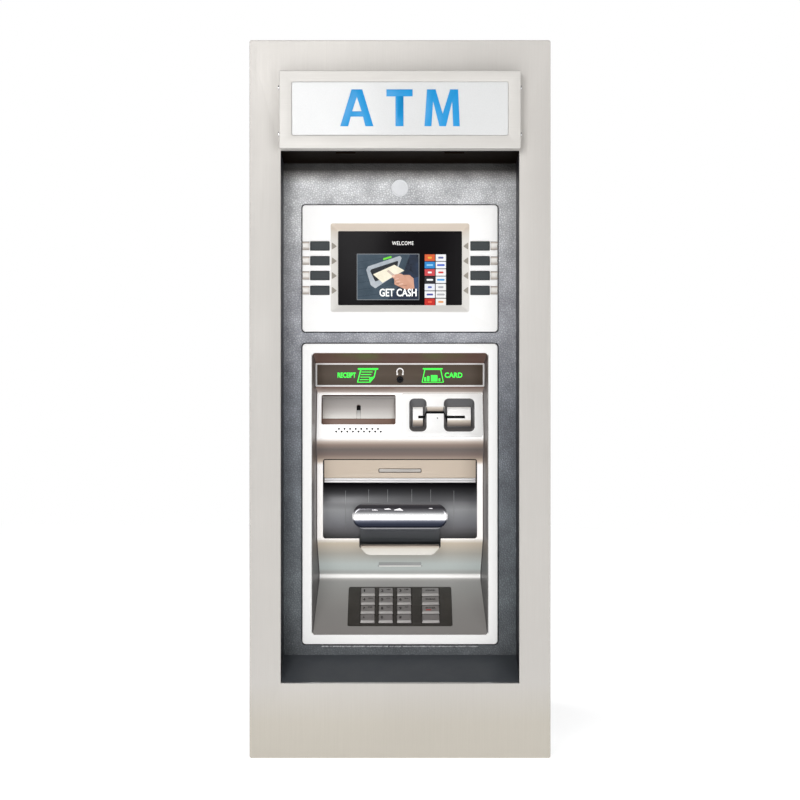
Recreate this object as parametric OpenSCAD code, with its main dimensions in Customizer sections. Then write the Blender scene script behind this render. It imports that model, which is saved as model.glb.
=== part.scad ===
// Through-the-wall cash machine: stainless surround with an illuminated sign,
// moulded fascia with display, soft keys, receipt and card slots, cash outlet and
// keypad, an equipment cabinet with a rear door, and a safe with a cash dispenser.
// X is across, -Y is the customer side, +Z is up; z = 0 is the floor.

/* [Surround] */
// Width of the stainless surround
surround_w = 520; // [500:1:540]
// Height of the stainless surround
surround_h = 1240; // [1230:1:1260]
// Width of the recess behind the surround
recess_w = 412; // [406:1:416]
// Depth of the recess, from the surround's face to the trim panel
recess_d = 95; // [90:1:100]
// Height of the recess's front edge above the floor
sill_z = 129; // [120:1:134]

/* [Sign] */
// Height of the sign box
sign_h = 133; // [126:1:140]
// How far the sign box stands out from the surround
sign_d = 35; // [30:1:40]

/* [Fascia] */
// Width of both fascia bezels
bezel_w = 346; // [344:1:350]
// Width of the moulded bezels' flat border
border = 17; // [15:1:18]
// Depth of the niche at the keypad's back edge
niche_d = 130; // [126:1:134]
// Travel of the keys
key_travel = 2; // [1:0.5:2]

/* [Cabinet and safe] */
// Width of the cabinet and of the safe
body_w = 440; // [436:1:444]
// Distance from the origin to the cabinet's rear edge
rear_y = 358.5; // [354:0.5:362]
// Height of the safe
safe_h = 503; // [500:1:503]
// Thickness of the safe's walls
safe_wall = 8; // [7:1:9]
// How far the safe's bolts move
bolt_throw = 20; // [16:1:22]

/* [Hidden] */
reach = rear_y + 47.5;               // half the overall depth, to the handle's lever
front_y = sign_d - reach;            // the surround's face
trim_y = front_y + recess_d;         // front face of the trim panel
bezel_t = 6;
face_y = trim_y - bezel_t;           // front face of both fascia bezels
skin = 2;                            // sheet metal
sign_z = 1048.8;                     // underside of the sign box
recess_top = 1038.3;                 // underside of the recess, at the trim panel
sill_back = 166.2;                   // the sill, at the trim panel
cab_front = trim_y + 3;              // back of the trim panel
cab_top = 1200;
cab_low = 20;
safe_front = front_y + 250;
eps = 0.02;

// screen bezel
screen_z = [739.7, 963.9];
glass_w = 220.4;
glass_h = 131.7;
glass_z = 852.9;
bevel = 12.4;
bevel_d = 12;
fdk_pitch = 26.25;
fdk_top = 891.6;
fdk_x = 142;
fdk_w = 33.8;
fdk_h = 15.9;

// lower fascia and its niche, as depths e behind the bezel's face and heights z
niche_z = [202.7, 701.3];
fascia_z = [niche_z[0] - border, niche_z[1] + border];
niche_w = bezel_w - 2 * border;
draft = 0.035;
head_e = 60;
head_z = [641, 686.5];
jack_z = 655.4;
card_top = [88, 634];
card_low = [71, 548];
plane_e = 85;
plane_z = [365, 512];
crease_z = 297;
lean = atan((card_top[0] - card_low[0]) / (card_top[1] - card_low[1]));
card_mid = (card_top + card_low) / 2;
shelf_rise = (crease_z - 10 - niche_z[0]) / niche_d;
shelf_angle = atan(shelf_rise);
shelf_e = 65;

// receipt pocket and card bezel, on the leaning face
receipt_x = -75.2;
receipt_w = 134.7;
receipt_z = [-17.2, 37.8];
flap_y = 3.2;
flap_z = 34;
card_x = 76.3;
card_w = 146.4;
card_h = 80;
slot_x = [32.6, 118.5];

// cash outlet
outlet_w = 280;
visor_low = 469.2;
drum_r = 70;
drum_e = 158;
drum_z = 425;
drum_y = face_y + drum_e;
gate_w = 146;
gate_a = [31, 62];

// keypad, along the shelf
pad_w = 187;
pad_l = 112.8;
pad_mid = 2.4;
key_cols = [-58.2, -25.6, 7.3, 55.2];
key_rows = [42, 16.6, -8.8, -34.2];
key_w = 25.8;
func_w = 31.3;
key_l = 21;

// rear doors and their hinges
hinge_x = -body_w / 2 - 8;
hinge_y = rear_y + 10;
pin_r = 5;
pin_gap = 0.06;
knuckle_r = 8;
knuckle_l = 30;
safe_hinge_z = [90, 410];
cab_hinge_z = [610, 1090];
handle_x = 60;
handle_z = 250;
dial_z = 360;
bolt_z = [110, 250, 390];
lock_x = 185;
lock_z = 850;
cassette_w = 190;
tray_z = 526;                        // equipment tray behind the fascia
clamp_y = face_y + 118;

key_names = [["key_1", "key_2", "key_3", "key_cancel"], ["key_4", "key_5", "key_6", "key_clear"],
    ["key_7", "key_8", "key_9", "key_enter"], ["key_star", "key_0", "key_hash", "key_blank"]];

// ---- shared shapes ----

// a rounded rectangle with true arcs, centred on the origin
module rounded(w, h, r) {
    square([w - 2 * r, h], center = true);
    square([w, h - 2 * r], center = true);
    for (x = [-1, 1], y = [-1, 1])
        translate([x * (w / 2 - r), y * (h / 2 - r)]) circle(r, $fn = 32);
}

// a plate in the XZ plane, centred on x and z, from y to y + t
module plate(w, h, t, r = 0, x = 0, y = 0, z = 0) {
    translate([x, y + t, z]) rotate([90, 0, 0]) linear_extrude(t)
        if (r > 0) rounded(w, h, r); else square([w, h], center = true);
}

// a plate standing between two heights
module upright(w, zs, t, r = 0, x = 0, y = 0) {
    plate(w, zs[1] - zs[0], t, r, x, y, (zs[0] + zs[1]) / 2);
}

// extrudes a (y, z) outline along X, centred on x
module along_x(w, x = 0) {
    translate([x - w / 2, 0, 0]) rotate([90, 0, 90]) linear_extrude(w) children();
}

// a block from one corner to another
module block(low, high) {
    translate(low) cube(high - low);
}

// a cylinder along Y from y, and one along X centred on x
module rod_y(r, l, x, y, z, fn = 48) {
    translate([x, y, z]) rotate([-90, 0, 0]) cylinder(r = r, h = l, $fn = fn);
}
module rod_x(r, l, x, y, z, fn = 48) {
    translate([x - l / 2, y, z]) rotate([0, 90, 0]) cylinder(r = r, h = l, $fn = fn);
}

// the leaning receipt and card face: local x across, y into the machine, z up the face
module on_face() {
    translate([0, face_y + card_mid[0], card_mid[1]]) rotate([-lean, 0, 0]) children();
}

// the keypad shelf: local x across, y up the slope, z out of the shelf
module on_shelf() {
    translate([0, face_y + shelf_e, niche_z[0] + shelf_rise * shelf_e])
        rotate([shelf_angle, 0, 0]) children();
}

// ---- surround and sign ----

module surround() {
    lip = 14;
    back = front_y + 25;
    opening = [sill_z, sign_z];
    color("silver") {
        difference() {
            upright(surround_w, [0, surround_h], skin, 3, 0, front_y);
            upright(recess_w, opening, 3 * skin, 0, 0, front_y - skin);
        }
        for (side = [-1, 1]) {
            block([side * surround_w / 2 - (side > 0 ? skin : 0), front_y + skin, 3],
                [side * surround_w / 2 + (side > 0 ? 0 : skin), back, surround_h - 3]);
            block([side > 0 ? surround_w / 2 - lip : -surround_w / 2, back - skin, 3],
                [side > 0 ? surround_w / 2 : -surround_w / 2 + lip, back, surround_h - 3]);
        }
        for (z = [0, surround_h - skin])
            block([-surround_w / 2 + 3, front_y + skin, z], [surround_w / 2 - 3, back, z + skin]);
        for (z = [0, surround_h - lip])
            block([-surround_w / 2 + 3, back - skin, z], [surround_w / 2 - 3, back, z + lip]);
    }
}

module recess_liner() {
    t = 1.5;
    y0 = front_y + skin;
    y1 = trim_y;
    slope_low = (sill_back - sill_z) / (y1 - y0);
    color([0.12, 0.12, 0.13]) difference() {
        along_x(recess_w + 2 * t)
            polygon([[y0, sill_z - t], [y1, sill_back - t],
                [y1, recess_top + t], [y0, sign_z + t]]);
        along_x(recess_w)
            polygon([[y0 - 1, sill_z - slope_low], [y1 + 1, sill_back + slope_low],
                [y1 + 1, recess_top], [y0 - 1, sign_z]]);
    }
}

module sign_housing() {
    window_w = 370.2;
    window_z = [1070.9, 1162.6];
    color("silver") difference() {
        upright(recess_w + 1, [sign_z, sign_z + sign_h], sign_d, 1.5, 0, front_y - sign_d);
        upright(recess_w + 1 - 2 * skin, [sign_z + skin, sign_z + sign_h - skin],
            sign_d, 0, 0, front_y - sign_d + skin);
        upright(window_w, window_z, 3 * skin, 3, 0, front_y - sign_d - skin);
    }
}

module sign_lens() {
    y = front_y - sign_d;
    color("white") {
        upright(369.4, [1071.3, 1162.2], 2.2 + eps, 2.6, 0, y - 0.2);
        upright(386, [1062, 1171], 2.5, 3, 0, y + skin);
    }
}

module sign_lamp() {
    y = front_y - 12;
    leds = 12;
    color("ivory") {
        block([-180, y, 1100], [180, y + 2, 1134]);
        for (i = [0:leds - 1])
            plate(10, 10, 2 + eps, 0, (i - (leds - 1) / 2) * 29, y - 2, 1117);
        for (x = [-120, 120]) block([x - 8, y + 2, 1104], [x + 8, front_y, 1130]);
    }
}

// ---- trim panel and screen ----

module trim_panel() {
    camera_z = 994.6;
    color([0.2, 0.22, 0.24]) difference() {
        upright(body_w, [cab_low, cab_top], 3, 0, 0, trim_y);
        upright(bezel_w - 10, screen_z + [5, -5], 9, 3, 0, trim_y - 3);
        upright(bezel_w - 10, fascia_z + [5, -5], 9, 3, 0, trim_y - 3);
        rod_y(13.5, 9, 0, trim_y - 3, camera_z);
    }
}

module camera() {
    z = 994.6;
    color("white") {
        rod_y(15.5, 2.5, 0, trim_y - 2.5, z);
        rod_y(13, 8, 0, trim_y - 1, z);
        block([-19, trim_y + 6, z - 15], [19, trim_y + 38, z + 15]);
    }
}

function fdk_z(i) = fdk_top - i * fdk_pitch;

module screen_bezel() {
    frame_back = face_y + bevel_d + 0.5;
    color("whitesmoke") difference() {
        union() {
            upright(bezel_w, screen_z, bezel_t, 5, 0, face_y);
            plate(glass_w + 2 * bevel - 6, glass_h + 2 * bevel - 6, frame_back - face_y - 1,
                2, 0, face_y + 1, glass_z);
        }
        hull() {
            plate(glass_w + 2 * bevel, glass_h + 2 * bevel, eps, 0, 0, face_y - eps, glass_z);
            plate(glass_w, glass_h, eps, 0, 0, face_y + bevel_d, glass_z);
        }
        plate(glass_w, glass_h, 9, 0, 0, face_y + bevel_d - 1, glass_z);
        for (side = [-1, 1], i = [0:3]) {
            plate(fdk_w + 0.6, fdk_h + 0.6, 20, 1, side * fdk_x, face_y - 2, fdk_z(i));
            rod_x(9, 20, side * (bezel_w / 2 - 4), face_y - 4.5, fdk_z(i));
        }
    }
}

module display() {
    y = face_y + bevel_d + 0.5;
    color([0.05, 0.05, 0.06]) {
        plate(glass_w + 12, glass_h + 12, 3, 2, 0, y, glass_z);
        plate(236, 146, 12, 2, 0, y + 3 - eps, glass_z);
        plate(160, 90, 12, 2, 0, y + 15 - eps, glass_z);
    }
}

module soft_key(side, i) {
    color([0.25, 0.27, 0.29]) {
        plate(fdk_w, fdk_h, 7.8, 1, side * fdk_x, face_y - 1.8, fdk_z(i));
        plate(fdk_w + 3, fdk_h + 3, 1.5, 1, side * fdk_x, trim_y, fdk_z(i));
    }
}

// ---- lower fascia ----

// the bulge below the leaning face, from its lower edge back to the outlet's plane
bulge = [for (i = [1:8]) let (t = i / 9)
    [card_low[0] + (plane_e - card_low[0]) * t * t * (3 - 2 * t),
        card_low[1] - (card_low[1] - plane_z[1]) * t]];

// the crease between the shelf and the wall above it, as an arc
crease_r = 14;
crease = [for (i = [0:6]) let (a = -90 + shelf_angle + i * 18)
    [niche_d - crease_r + crease_r * cos(a), crease_z + 3.5 + crease_r * sin(a)]];

niche_profile = concat([[-1, niche_z[0] - shelf_rise], [0, niche_z[0]]], crease,
    [[plane_e, plane_z[0]], [plane_e, plane_z[1]]], [for (i = [7:-1:0]) bulge[i]],
    [card_low, card_top, [head_e, head_z[0]], [head_e, head_z[1]],
        [0, niche_z[1]], [-1, niche_z[1] + 0.2]]);

// the niche as a solid, grown by a wall thickness
module niche(grow = 0) {
    half = niche_w / 2;
    intersection() {
        translate([0, face_y, 0]) along_x(niche_w + 2 * grow)
            offset(delta = grow) polygon(niche_profile);
        linear_extrude(1000) polygon([
            [-half - grow, face_y - 9], [half + grow, face_y - 9], [half + grow, face_y],
            [half + grow - draft * 150, face_y + 150],
            [-half - grow + draft * 150, face_y + 150], [-half - grow, face_y]]);
    }
}

module outlet_opening() {
    half = outlet_w / 2;
    low = plane_z[0] + 2;
    notch = gate_w / 2 + 1;
    translate([0, face_y + 60, 0]) rotate([-90, 0, 0]) linear_extrude(60)
        scale([1, -1]) polygon([[-half, low], [-notch, low], [-notch, low - 16],
            [-notch + 12, low - 31], [notch - 12, low - 31], [notch, low - 16],
            [notch, low], [half, low], [half, plane_z[1] - 0.5], [-half, plane_z[1] - 0.5]]);
}

module marker_slot(z) {
    block([-39, face_y + 60, z - 3.5], [39, face_y + 140, z + 3.5]);
}

module fascia_body() {
    pocket_mid = (receipt_z[0] + receipt_z[1]) / 2;
    pocket_h = receipt_z[1] - receipt_z[0];
    color("gainsboro") difference() {
        union() {
            upright(bezel_w, fascia_z, bezel_t, 6, 0, face_y);
            difference() {
                niche(3);
                block([-300, face_y - 20, 0], [300, face_y + 3, 1000]);
            }
            // the receipt pocket's walls
            on_face() plate(receipt_w + 6, pocket_h + 5, 22, 3, receipt_x, 0.1, pocket_mid);
        }
        niche();
        on_face() {
            plate(receipt_w, pocket_h, 60, 2, receipt_x, -5, pocket_mid);
            plate(card_w + 0.6, card_h + 0.6, 60, 4, card_x, -20, 0);
            rod_x(1.5 + pin_gap, receipt_w + 4.4, receipt_x, flap_y, flap_z, 24);
            for (i = [-4:4]) rod_y(1.6, 20, receipt_x + i * 10.1, -8, -30.2, 16);
            for (i = [-3.5:3.5]) rod_y(1.6, 20, receipt_x + i * 10.1, -8, -25.2, 16);
        }
        outlet_opening();
        rod_y(6.2, 40, 0, face_y + 50, jack_z);
        marker_slot(318);
        on_shelf() translate([0, pad_mid, -30]) linear_extrude(60)
            rounded(pad_w + 0.6, pad_l + 0.6, 4);
    }
}

module header_panel() {
    mid = (head_z[0] + head_z[1]) / 2;
    w = niche_w - 2 * draft * head_e - 3;
    y = face_y + head_e;
    color([0.33, 0.27, 0.24]) difference() {
        plate(w, 43, 3, 1.5, 0, y - 3, mid);
        rod_y(6.2, 20, 0, y - 10, jack_z);
    }
}

module headphone_jack() {
    y = face_y + head_e;
    color([0.08, 0.08, 0.09]) difference() {
        union() {
            rod_y(6.1, 20, 0, y - 3.5, jack_z);
            rod_y(9, 6, 0, y + 3, jack_z);
        }
        rod_y(1.8, 15, 0, y - 5, jack_z);
    }
}

// the flap's curve runs from its hinge down and into the pocket
function flap_curve(t) = [flap_y + 12 * sin(90 * t), flap_z - 40 * t];

module receipt_flap() {
    steps = 8;
    w = receipt_w - 3;
    outer = [for (i = [0:steps]) flap_curve(i / steps)];
    inner = [for (i = [steps:-1:0]) flap_curve(i / steps) + [2, 0]];
    color("lightgray") on_face() {
        difference() {
            along_x(w, receipt_x) polygon(concat(outer, inner));
            hull() {
                rod_y(4, 40, receipt_x, -5, flap_z - 18, 32);
                rod_y(4, 40, receipt_x, -5, flap_z - 48, 32);
            }
        }
        rod_x(2.4, w, receipt_x, flap_y, flap_z, 24);
        rod_x(1.5, receipt_w + 4, receipt_x, flap_y, flap_z, 24);
    }
}

module receipt_printer() {
    y0 = face_y + 118;
    color("gray") {
        block([receipt_x - 62, y0, 566], [receipt_x + 62, y0 + 95, 640]);
        block([receipt_x - 66, y0 + 10, 560], [receipt_x + 66, y0 + 95, 566]);
        for (x = [-62, 58]) difference() {
            block([receipt_x + x, y0 + 95, 560], [receipt_x + x + 4, y0 + 200, 690]);
            rod_x(4.06, 20, receipt_x + x, y0 + 148, 640, 32);
        }
        block([receipt_x - 62, y0 + 80, 556], [receipt_x + 62, y0 + 200, 560]);
        for (x = [-62, 50], y = [10, 170])
            block([receipt_x + x, y0 + y, tray_z + 2], [receipt_x + x + 12, y0 + y + 20, 562]);
        block([receipt_x - 50, y0 - 12, 574], [receipt_x + 50, y0, 590]);
        rod_x(10, 106, receipt_x, y0 + 40, 652, 32);
        for (x = [-56, 52]) block([receipt_x + x, y0 + 28, 640], [receipt_x + x + 4, y0 + 52, 664]);
    }
}

module paper_roll() {
    y = face_y + 118 + 148;
    color("white") {
        rod_x(40, 80, receipt_x, y, 640, 96);
        rod_x(4, 126, receipt_x, y, 640, 32);
    }
}

module card_pocket(x0, x1) {
    w = x1 - x0;
    plate(w, 61, 14, 7, (x0 + x1) / 2, -1, 0.5);
}

module card_bezel() {
    color("whitesmoke") on_face() difference() {
        union() {
            plate(card_w, card_h, 4, 4, card_x, 0, 0);
            plate(card_w - 8, card_h - 8, 18, 3, card_x, 0, 0);
            plate(card_w + 6, card_h + 3, 2, 3, card_x, 3, 0);
        }
        card_pocket(16.8, 48.2);
        card_pocket(79.4, 135.2);
        translate([slot_x[0], -5, -4.2]) cube([slot_x[1] - slot_x[0], 40, 2.4]);
        translate([slot_x[0] + 16, -5, -4.2]) cube([30, 10, 2.4]);
    }
}

module card_reader() {
    color("dimgray") {
        on_face() difference() {
            union() {
                translate([slot_x[0] - 6, 18, -28]) cube([98, 120, 50]);
                translate([slot_x[0] + 4, 26, -34]) cube([78, 100, 6]);
            }
            translate([slot_x[0], 17, -4.2]) cube([slot_x[1] - slot_x[0], 90, 2.4]);
        }
        block([card_x - 30, clamp_y + 18, tray_z + 2], [card_x + 30, clamp_y + 60, tray_z + 18]);
    }
}

// ---- cash outlet ----

module outlet_visor() {
    y = face_y + plane_e;
    color("tan") difference() {
        union() {
            upright(outlet_w - 4, [visor_low, plane_z[1] - 2.5], 3, 1, 0, y - 1);
            upright(outlet_w + 16, [visor_low + 2, plane_z[1] + 6], 3, 1, 0, y + 3);
            upright(outlet_w - 10, [visor_low + 4, plane_z[1] - 6], 3, 1, 0, y + 1);
        }
        upright(78, [486.7, 494.2], 1.5, 1, 0, y - 2);
    }
}

// a band of a drum between two radii and two angles below the horizontal
module drum_band(w, r0, r1, a0, a1) {
    steps = 12;
    translate([0, drum_y, drum_z]) along_x(w) polygon(concat(
        [for (i = [0:steps]) let (a = 180 + a0 + (a1 - a0) * i / steps) r1 * [cos(a), sin(a)]],
        [for (i = [steps:-1:0]) let (a = 180 + a0 + (a1 - a0) * i / steps) r0 * [cos(a), sin(a)]]));
}

// a ring of width w from low_a below the horizontal to high_a above it
module drum_ring(w, r0, r1, low_a, high_a) {
    translate([-w / 2, drum_y, drum_z]) rotate([90, 0, 90]) rotate([0, 0, 180 - high_a])
        rotate_extrude(angle = high_a + low_a, $fn = 96)
            translate([r0, 0]) square([r1 - r0, w]);
}

module outlet_drum() {
    seams = [-100, -58, -24, 20, 56, 100];
    color([0.16, 0.16, 0.18]) difference() {
        union() {
            drum_ring(outlet_w + 8, drum_r - 4, drum_r, 76, 50);
            for (x = [-1, 1]) translate([x * (outlet_w / 2 + 2), 0, 0])
                drum_ring(4, drum_r - 20, drum_r - 4 + eps, 76, 50);
        }
        for (x = seams)
            translate([x - 0.5, drum_y, drum_z]) rotate([90, 0, 90]) difference() {
                cylinder(r = drum_r + 2, h = 1, $fn = 96);
                translate([0, 0, -1]) cylinder(r = drum_r - 0.6, h = 3, $fn = 96);
            }
        drum_band(gate_w - 6, drum_r - 9, drum_r + 4, gate_a[0] + 3, gate_a[1] - 2);
    }
}

module cash_lip() {
    y = face_y + 57;
    color("silver") difference() {
        translate([0, y, 409]) rotate([-90, 0, 0]) linear_extrude(62) rounded(172, 46, 17);
        translate([0, drum_y, drum_z]) rotate([0, 90, 0]) translate([0, 0, -120])
            cylinder(r = drum_r + 0.05, h = 240, $fn = 96);
        translate([0, drum_y, drum_z]) rotate([0, 90, 0]) translate([0, 0, -gate_w / 2 - 1.5])
            cylinder(r = drum_r + 8, h = gate_w + 3, $fn = 96);
        block([-gate_w / 2 - 1.5, drum_y - 40, 300], [gate_w / 2 + 1.5, drum_y + 60, 480]);
    }
}

module cash_shutter() {
    color([0.1, 0.1, 0.11])
        drum_ring(gate_w, drum_r + 2.5, drum_r + 6, gate_a[1], -gate_a[0]);
}

module cash_tray() {
    notch = gate_w / 2 + 0.5;
    low = plane_z[0] - 28.5;
    back = face_y + plane_e + 4;
    slope = (crease[6][0] - plane_e) / (plane_z[0] - crease[6][1]);
    wall = face_y + plane_e + 3 / cos(atan(slope)) + 0.05;
    color("linen") {
        intersection() {
            along_x(2 * notch) polygon([[back, low], [back - 20, low + 1],
                [back - 21, low + 3], [back - 2, low + 21], [back + 14, low + 14], [back + 26, low]]);
            translate([0, face_y + 50, 0]) rotate([-90, 0, 0]) linear_extrude(80)
                scale([1, -1]) polygon([[-notch, low + 30], [-notch, low + 14.5],
                    [-notch + 11.5, low], [notch - 11.5, low], [notch, low + 14.5], [notch, low + 30]]);
        }
        // flange behind the sloping wall
        along_x(2 * notch + 12) polygon([for (p = [[37, 0], [15, 0], [15, 3], [37, 3]])
            [wall + p[0] * slope + p[1], plane_z[0] - p[0]]]);
    }
}

// ---- keypad ----

module keypad_body() {
    color([0.2, 0.19, 0.18]) on_shelf() difference() {
        union() {
            translate([0, pad_mid, -3.5]) linear_extrude(3) rounded(pad_w, pad_l, 3.6);
            translate([0, pad_mid, -34]) linear_extrude(31) rounded(pad_w - 3, pad_l - 3, 3);
            translate([0, pad_mid, -5]) linear_extrude(2) rounded(pad_w + 8, pad_l + 6, 3);
        }
        translate([0, pad_mid, -9.5 - key_travel]) linear_extrude(6 + key_travel)
            rounded(pad_w - 14, pad_l - 8, 2);
        for (c = [0:3], r = [0:3])
            translate([key_cols[c], key_rows[r], -5]) linear_extrude(9)
                rounded((c == 3 ? func_w : key_w) + 0.8, key_l + 0.8, 1.6);
    }
}

module keypad_key(c, r) {
    w = c == 3 ? func_w : key_w;
    color("darkgray") on_shelf() translate([key_cols[c], key_rows[r], 0]) {
        translate([0, 0, -6]) linear_extrude(7.5) rounded(w, key_l, 1.4);
        translate([0, 0, 1.5 - eps]) linear_extrude(1.5 + eps) rounded(w - 1.2, key_l - 2.4, 1.2);
        translate([0, 0, -6]) linear_extrude(2.4) rounded(w + 2.2, key_l + 2.2, 1.6);
    }
}

// ---- cabinet, safe and rear doors ----

// a hinge knuckle on the body's side: even ones belong to the body, odd ones to the door
module knuckle(z, lift, reach) {
    low = z + lift * (knuckle_l + 0.4);
    difference() {
        union() {
            translate([hinge_x, hinge_y, low]) cylinder(r = knuckle_r, h = knuckle_l, $fn = 48);
            if (reach > 0)
                block([hinge_x, hinge_y - 4, low], [hinge_x + reach, hinge_y + 4, low + knuckle_l]);
            else
                block([hinge_x - 3, hinge_y - 52, low], [hinge_x + 3, hinge_y, low + knuckle_l]);
            if (reach == 0)
                block([hinge_x, hinge_y - 52, low], [hinge_x + 8, hinge_y - 14, low + knuckle_l]);
        }
        translate([hinge_x, hinge_y, low - 1])
            cylinder(r = pin_r + pin_gap, h = knuckle_l + 2, $fn = 48);
    }
}

module hinge_pins() {
    color("lightgray") for (z = concat(safe_hinge_z, cab_hinge_z)) {
        translate([hinge_x, hinge_y, z - 1]) cylinder(r = pin_r, h = 2 * knuckle_l + 3, $fn = 48);
        translate([hinge_x, hinge_y, z - 3]) cylinder(r = pin_r + 2.5, h = 3, $fn = 48);
    }
}

module cabinet() {
    half = body_w / 2;
    low = safe_h + 2;
    gland = [-150, 120];
    color("darkgray") difference() {
        union() {
            for (side = [-1, 1])
                along_x(skin, side * (half - skin / 2)) polygon([[cab_front, cab_low],
                    [safe_front - 2, cab_low], [safe_front - 2, low], [rear_y, low],
                    [rear_y, cab_top], [cab_front, cab_top]]);
            block([-half, cab_front, cab_top - skin], [half, rear_y, cab_top]);
            block([-half, safe_front - 2, low], [half, rear_y, low + skin]);
            block([-half, cab_front, cab_low], [half, safe_front - 2, cab_low + skin]);
            // front flanges behind the trim panel
            for (side = [-1, 1])
                block([side > 0 ? half - 18 : -half, cab_front, cab_low],
                    [side > 0 ? half : -half + 18, cab_front + skin, cab_top]);
            block([-half, cab_front, cab_top - 18], [half, cab_front + skin, cab_top]);
            block([-half, cab_front, cab_low], [half, cab_front + skin, cab_low + 18]);
            // rear frame around the service door
            difference() {
                upright(body_w, [low, cab_top], skin, 0, 0, rear_y - skin);
                upright(body_w - 44, [low + 22, cab_top - 22], 3 * skin, 0, 0, rear_y - 2 * skin);
            }
            // equipment shelf
            block([-half, 40, 760], [half, rear_y - 40, 762]);
            for (side = [-1, 1])
                block([side > 0 ? half - 16 : -half, 40, 744], [side > 0 ? half : -half + 16, rear_y - 40, 760]);
            // equipment tray behind the fascia
            block([-half, clamp_y, tray_z], [half, clamp_y + 200, tray_z + 2]);
            // cable entry collar in the roof
            translate([gland[0], gland[1], cab_top - 6]) cylinder(r = 20, h = 14, $fn = 64);
            for (z = cab_hinge_z) knuckle(z, 0, 0);
        }
        translate([gland[0], gland[1], cab_top - 20]) cylinder(r = 14, h = 60, $fn = 64);
    }
}

module rear_door() {
    half = body_w / 2 - 2;
    zs = [safe_h + 5, cab_top - 2];
    depth = 16;
    y = rear_y + 0.5;
    color("darkgray") {
        difference() {
            upright(2 * half, zs, depth, 2, 0, y);
            upright(2 * half - 4, zs + [2, -2], depth, 0, 0, y - skin);
            for (i = [0:6], row = [0, 1])
                plate(170, 5, 30, 2.4, 0, rear_y, (row == 0 ? 570 : 1060) + i * 14);
            rod_y(11.06, 30, lock_x, rear_y, lock_z);
        }
        for (z = cab_hinge_z) difference() {
            knuckle(z, 1, 12);
            block([hinge_x + 10, rear_y, z], [hinge_x + 30, rear_y + 40, z + 90]);
        }
    }
}

module door_lock() {
    y = rear_y + 10;
    color("silver") {
        rod_y(11, 12, lock_x, y - 2, lock_z);
        rod_y(14, 3, lock_x, rear_y + 16.6, lock_z);
        rod_y(6, 30, lock_x, y - 28, lock_z);
        // the cam tongue, upright when unlocked
        block([lock_x - 7, rear_y - 12, lock_z - 7], [lock_x + 7, rear_y - 9, lock_z + 32]);
        block([lock_x - 1.5, rear_y + 19, lock_z - 9], [lock_x + 1.5, rear_y + 26, lock_z + 9]);
    }
}

module safe_body() {
    half = body_w / 2;
    w = safe_wall;
    frame = 30;
    anchor = [150, 160];
    mid = (safe_front + rear_y) / 2;
    color("dimgray") difference() {
        union() {
            difference() {
                block([-half, safe_front, 0], [half, rear_y, safe_h]);
                block([-half + w, safe_front + w, w], [half - w, rear_y + 1, safe_h - w]);
            }
            difference() {
                upright(body_w, [0, safe_h], 10, 0, 0, rear_y - 10);
                upright(body_w - 2 * frame, [frame, safe_h - frame], 30, 0, 0, rear_y - 20);
            }
            for (z = safe_hinge_z) knuckle(z, 0, 0);
        }
        block([-95, safe_front - 5, 396], [95, safe_front + w + 5, 446]);
        for (x = [-1, 1], y = [-1, 1])
            translate([x * anchor[0], y * anchor[1] + mid, -5]) cylinder(r = 9, h = 30, $fn = 48);
    }
}

module safe_door() {
    half = body_w / 2 - 2;
    y = rear_y + 0.5;
    color("dimgray") {
        difference() {
            upright(2 * half, [2, safe_h - 2], 18, 2, 0, y);
            rod_y(8.06, 60, handle_x, rear_y - 30, handle_z);
            rod_y(5.06, 60, handle_x, rear_y - 30, dial_z);
        }
        // guides that carry the bolts on the door's inner face
        for (z = bolt_z, x = [96 + bolt_throw, 160]) difference() {
            block([x, rear_y - 34, z - 14], [x + 12, y + eps, z + 14]);
            rod_x(8.06, 40, x + 6, rear_y - 20, z);
        }
        for (z = safe_hinge_z) difference() {
            knuckle(z, 1, 12);
            block([hinge_x + 10, rear_y, z], [hinge_x + 30, rear_y + 40, z + 90]);
        }
    }
}

module safe_bolts() {
    tip = body_w / 2 - 30 - 4;
    color("silver") {
        for (z = bolt_z) rod_x(8, 100, tip - 50, rear_y - 20, z);
        block([tip - 110, rear_y - 26, bolt_z[0] - 14], [tip - 98, rear_y - 14, bolt_z[2] + 14]);
    }
}

module safe_handle() {
    y = rear_y + 18.5;
    color("silver") {
        rod_y(8, 46, handle_x, rear_y - 20, handle_z);
        rod_y(20, 6, handle_x, y + 0.6, handle_z);
        rod_y(12, 22, handle_x, y + 6, handle_z);
        translate([handle_x, y + 22, handle_z]) rotate([0, 90, 0]) {
            translate([0, 0, -6]) cylinder(r = 7, h = 106, $fn = 48);
            translate([0, 0, 100]) sphere(7, $fn = 48);
        }
    }
}

module safe_dial() {
    y = rear_y + 18.5;
    color([0.1, 0.1, 0.1]) {
        rod_y(5, 34, handle_x, rear_y - 12, dial_z);
        rod_y(32, 5, handle_x, y + 0.6, dial_z);
        rod_y(19, 20, handle_x, y + 5, dial_z);
    }
}

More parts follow.
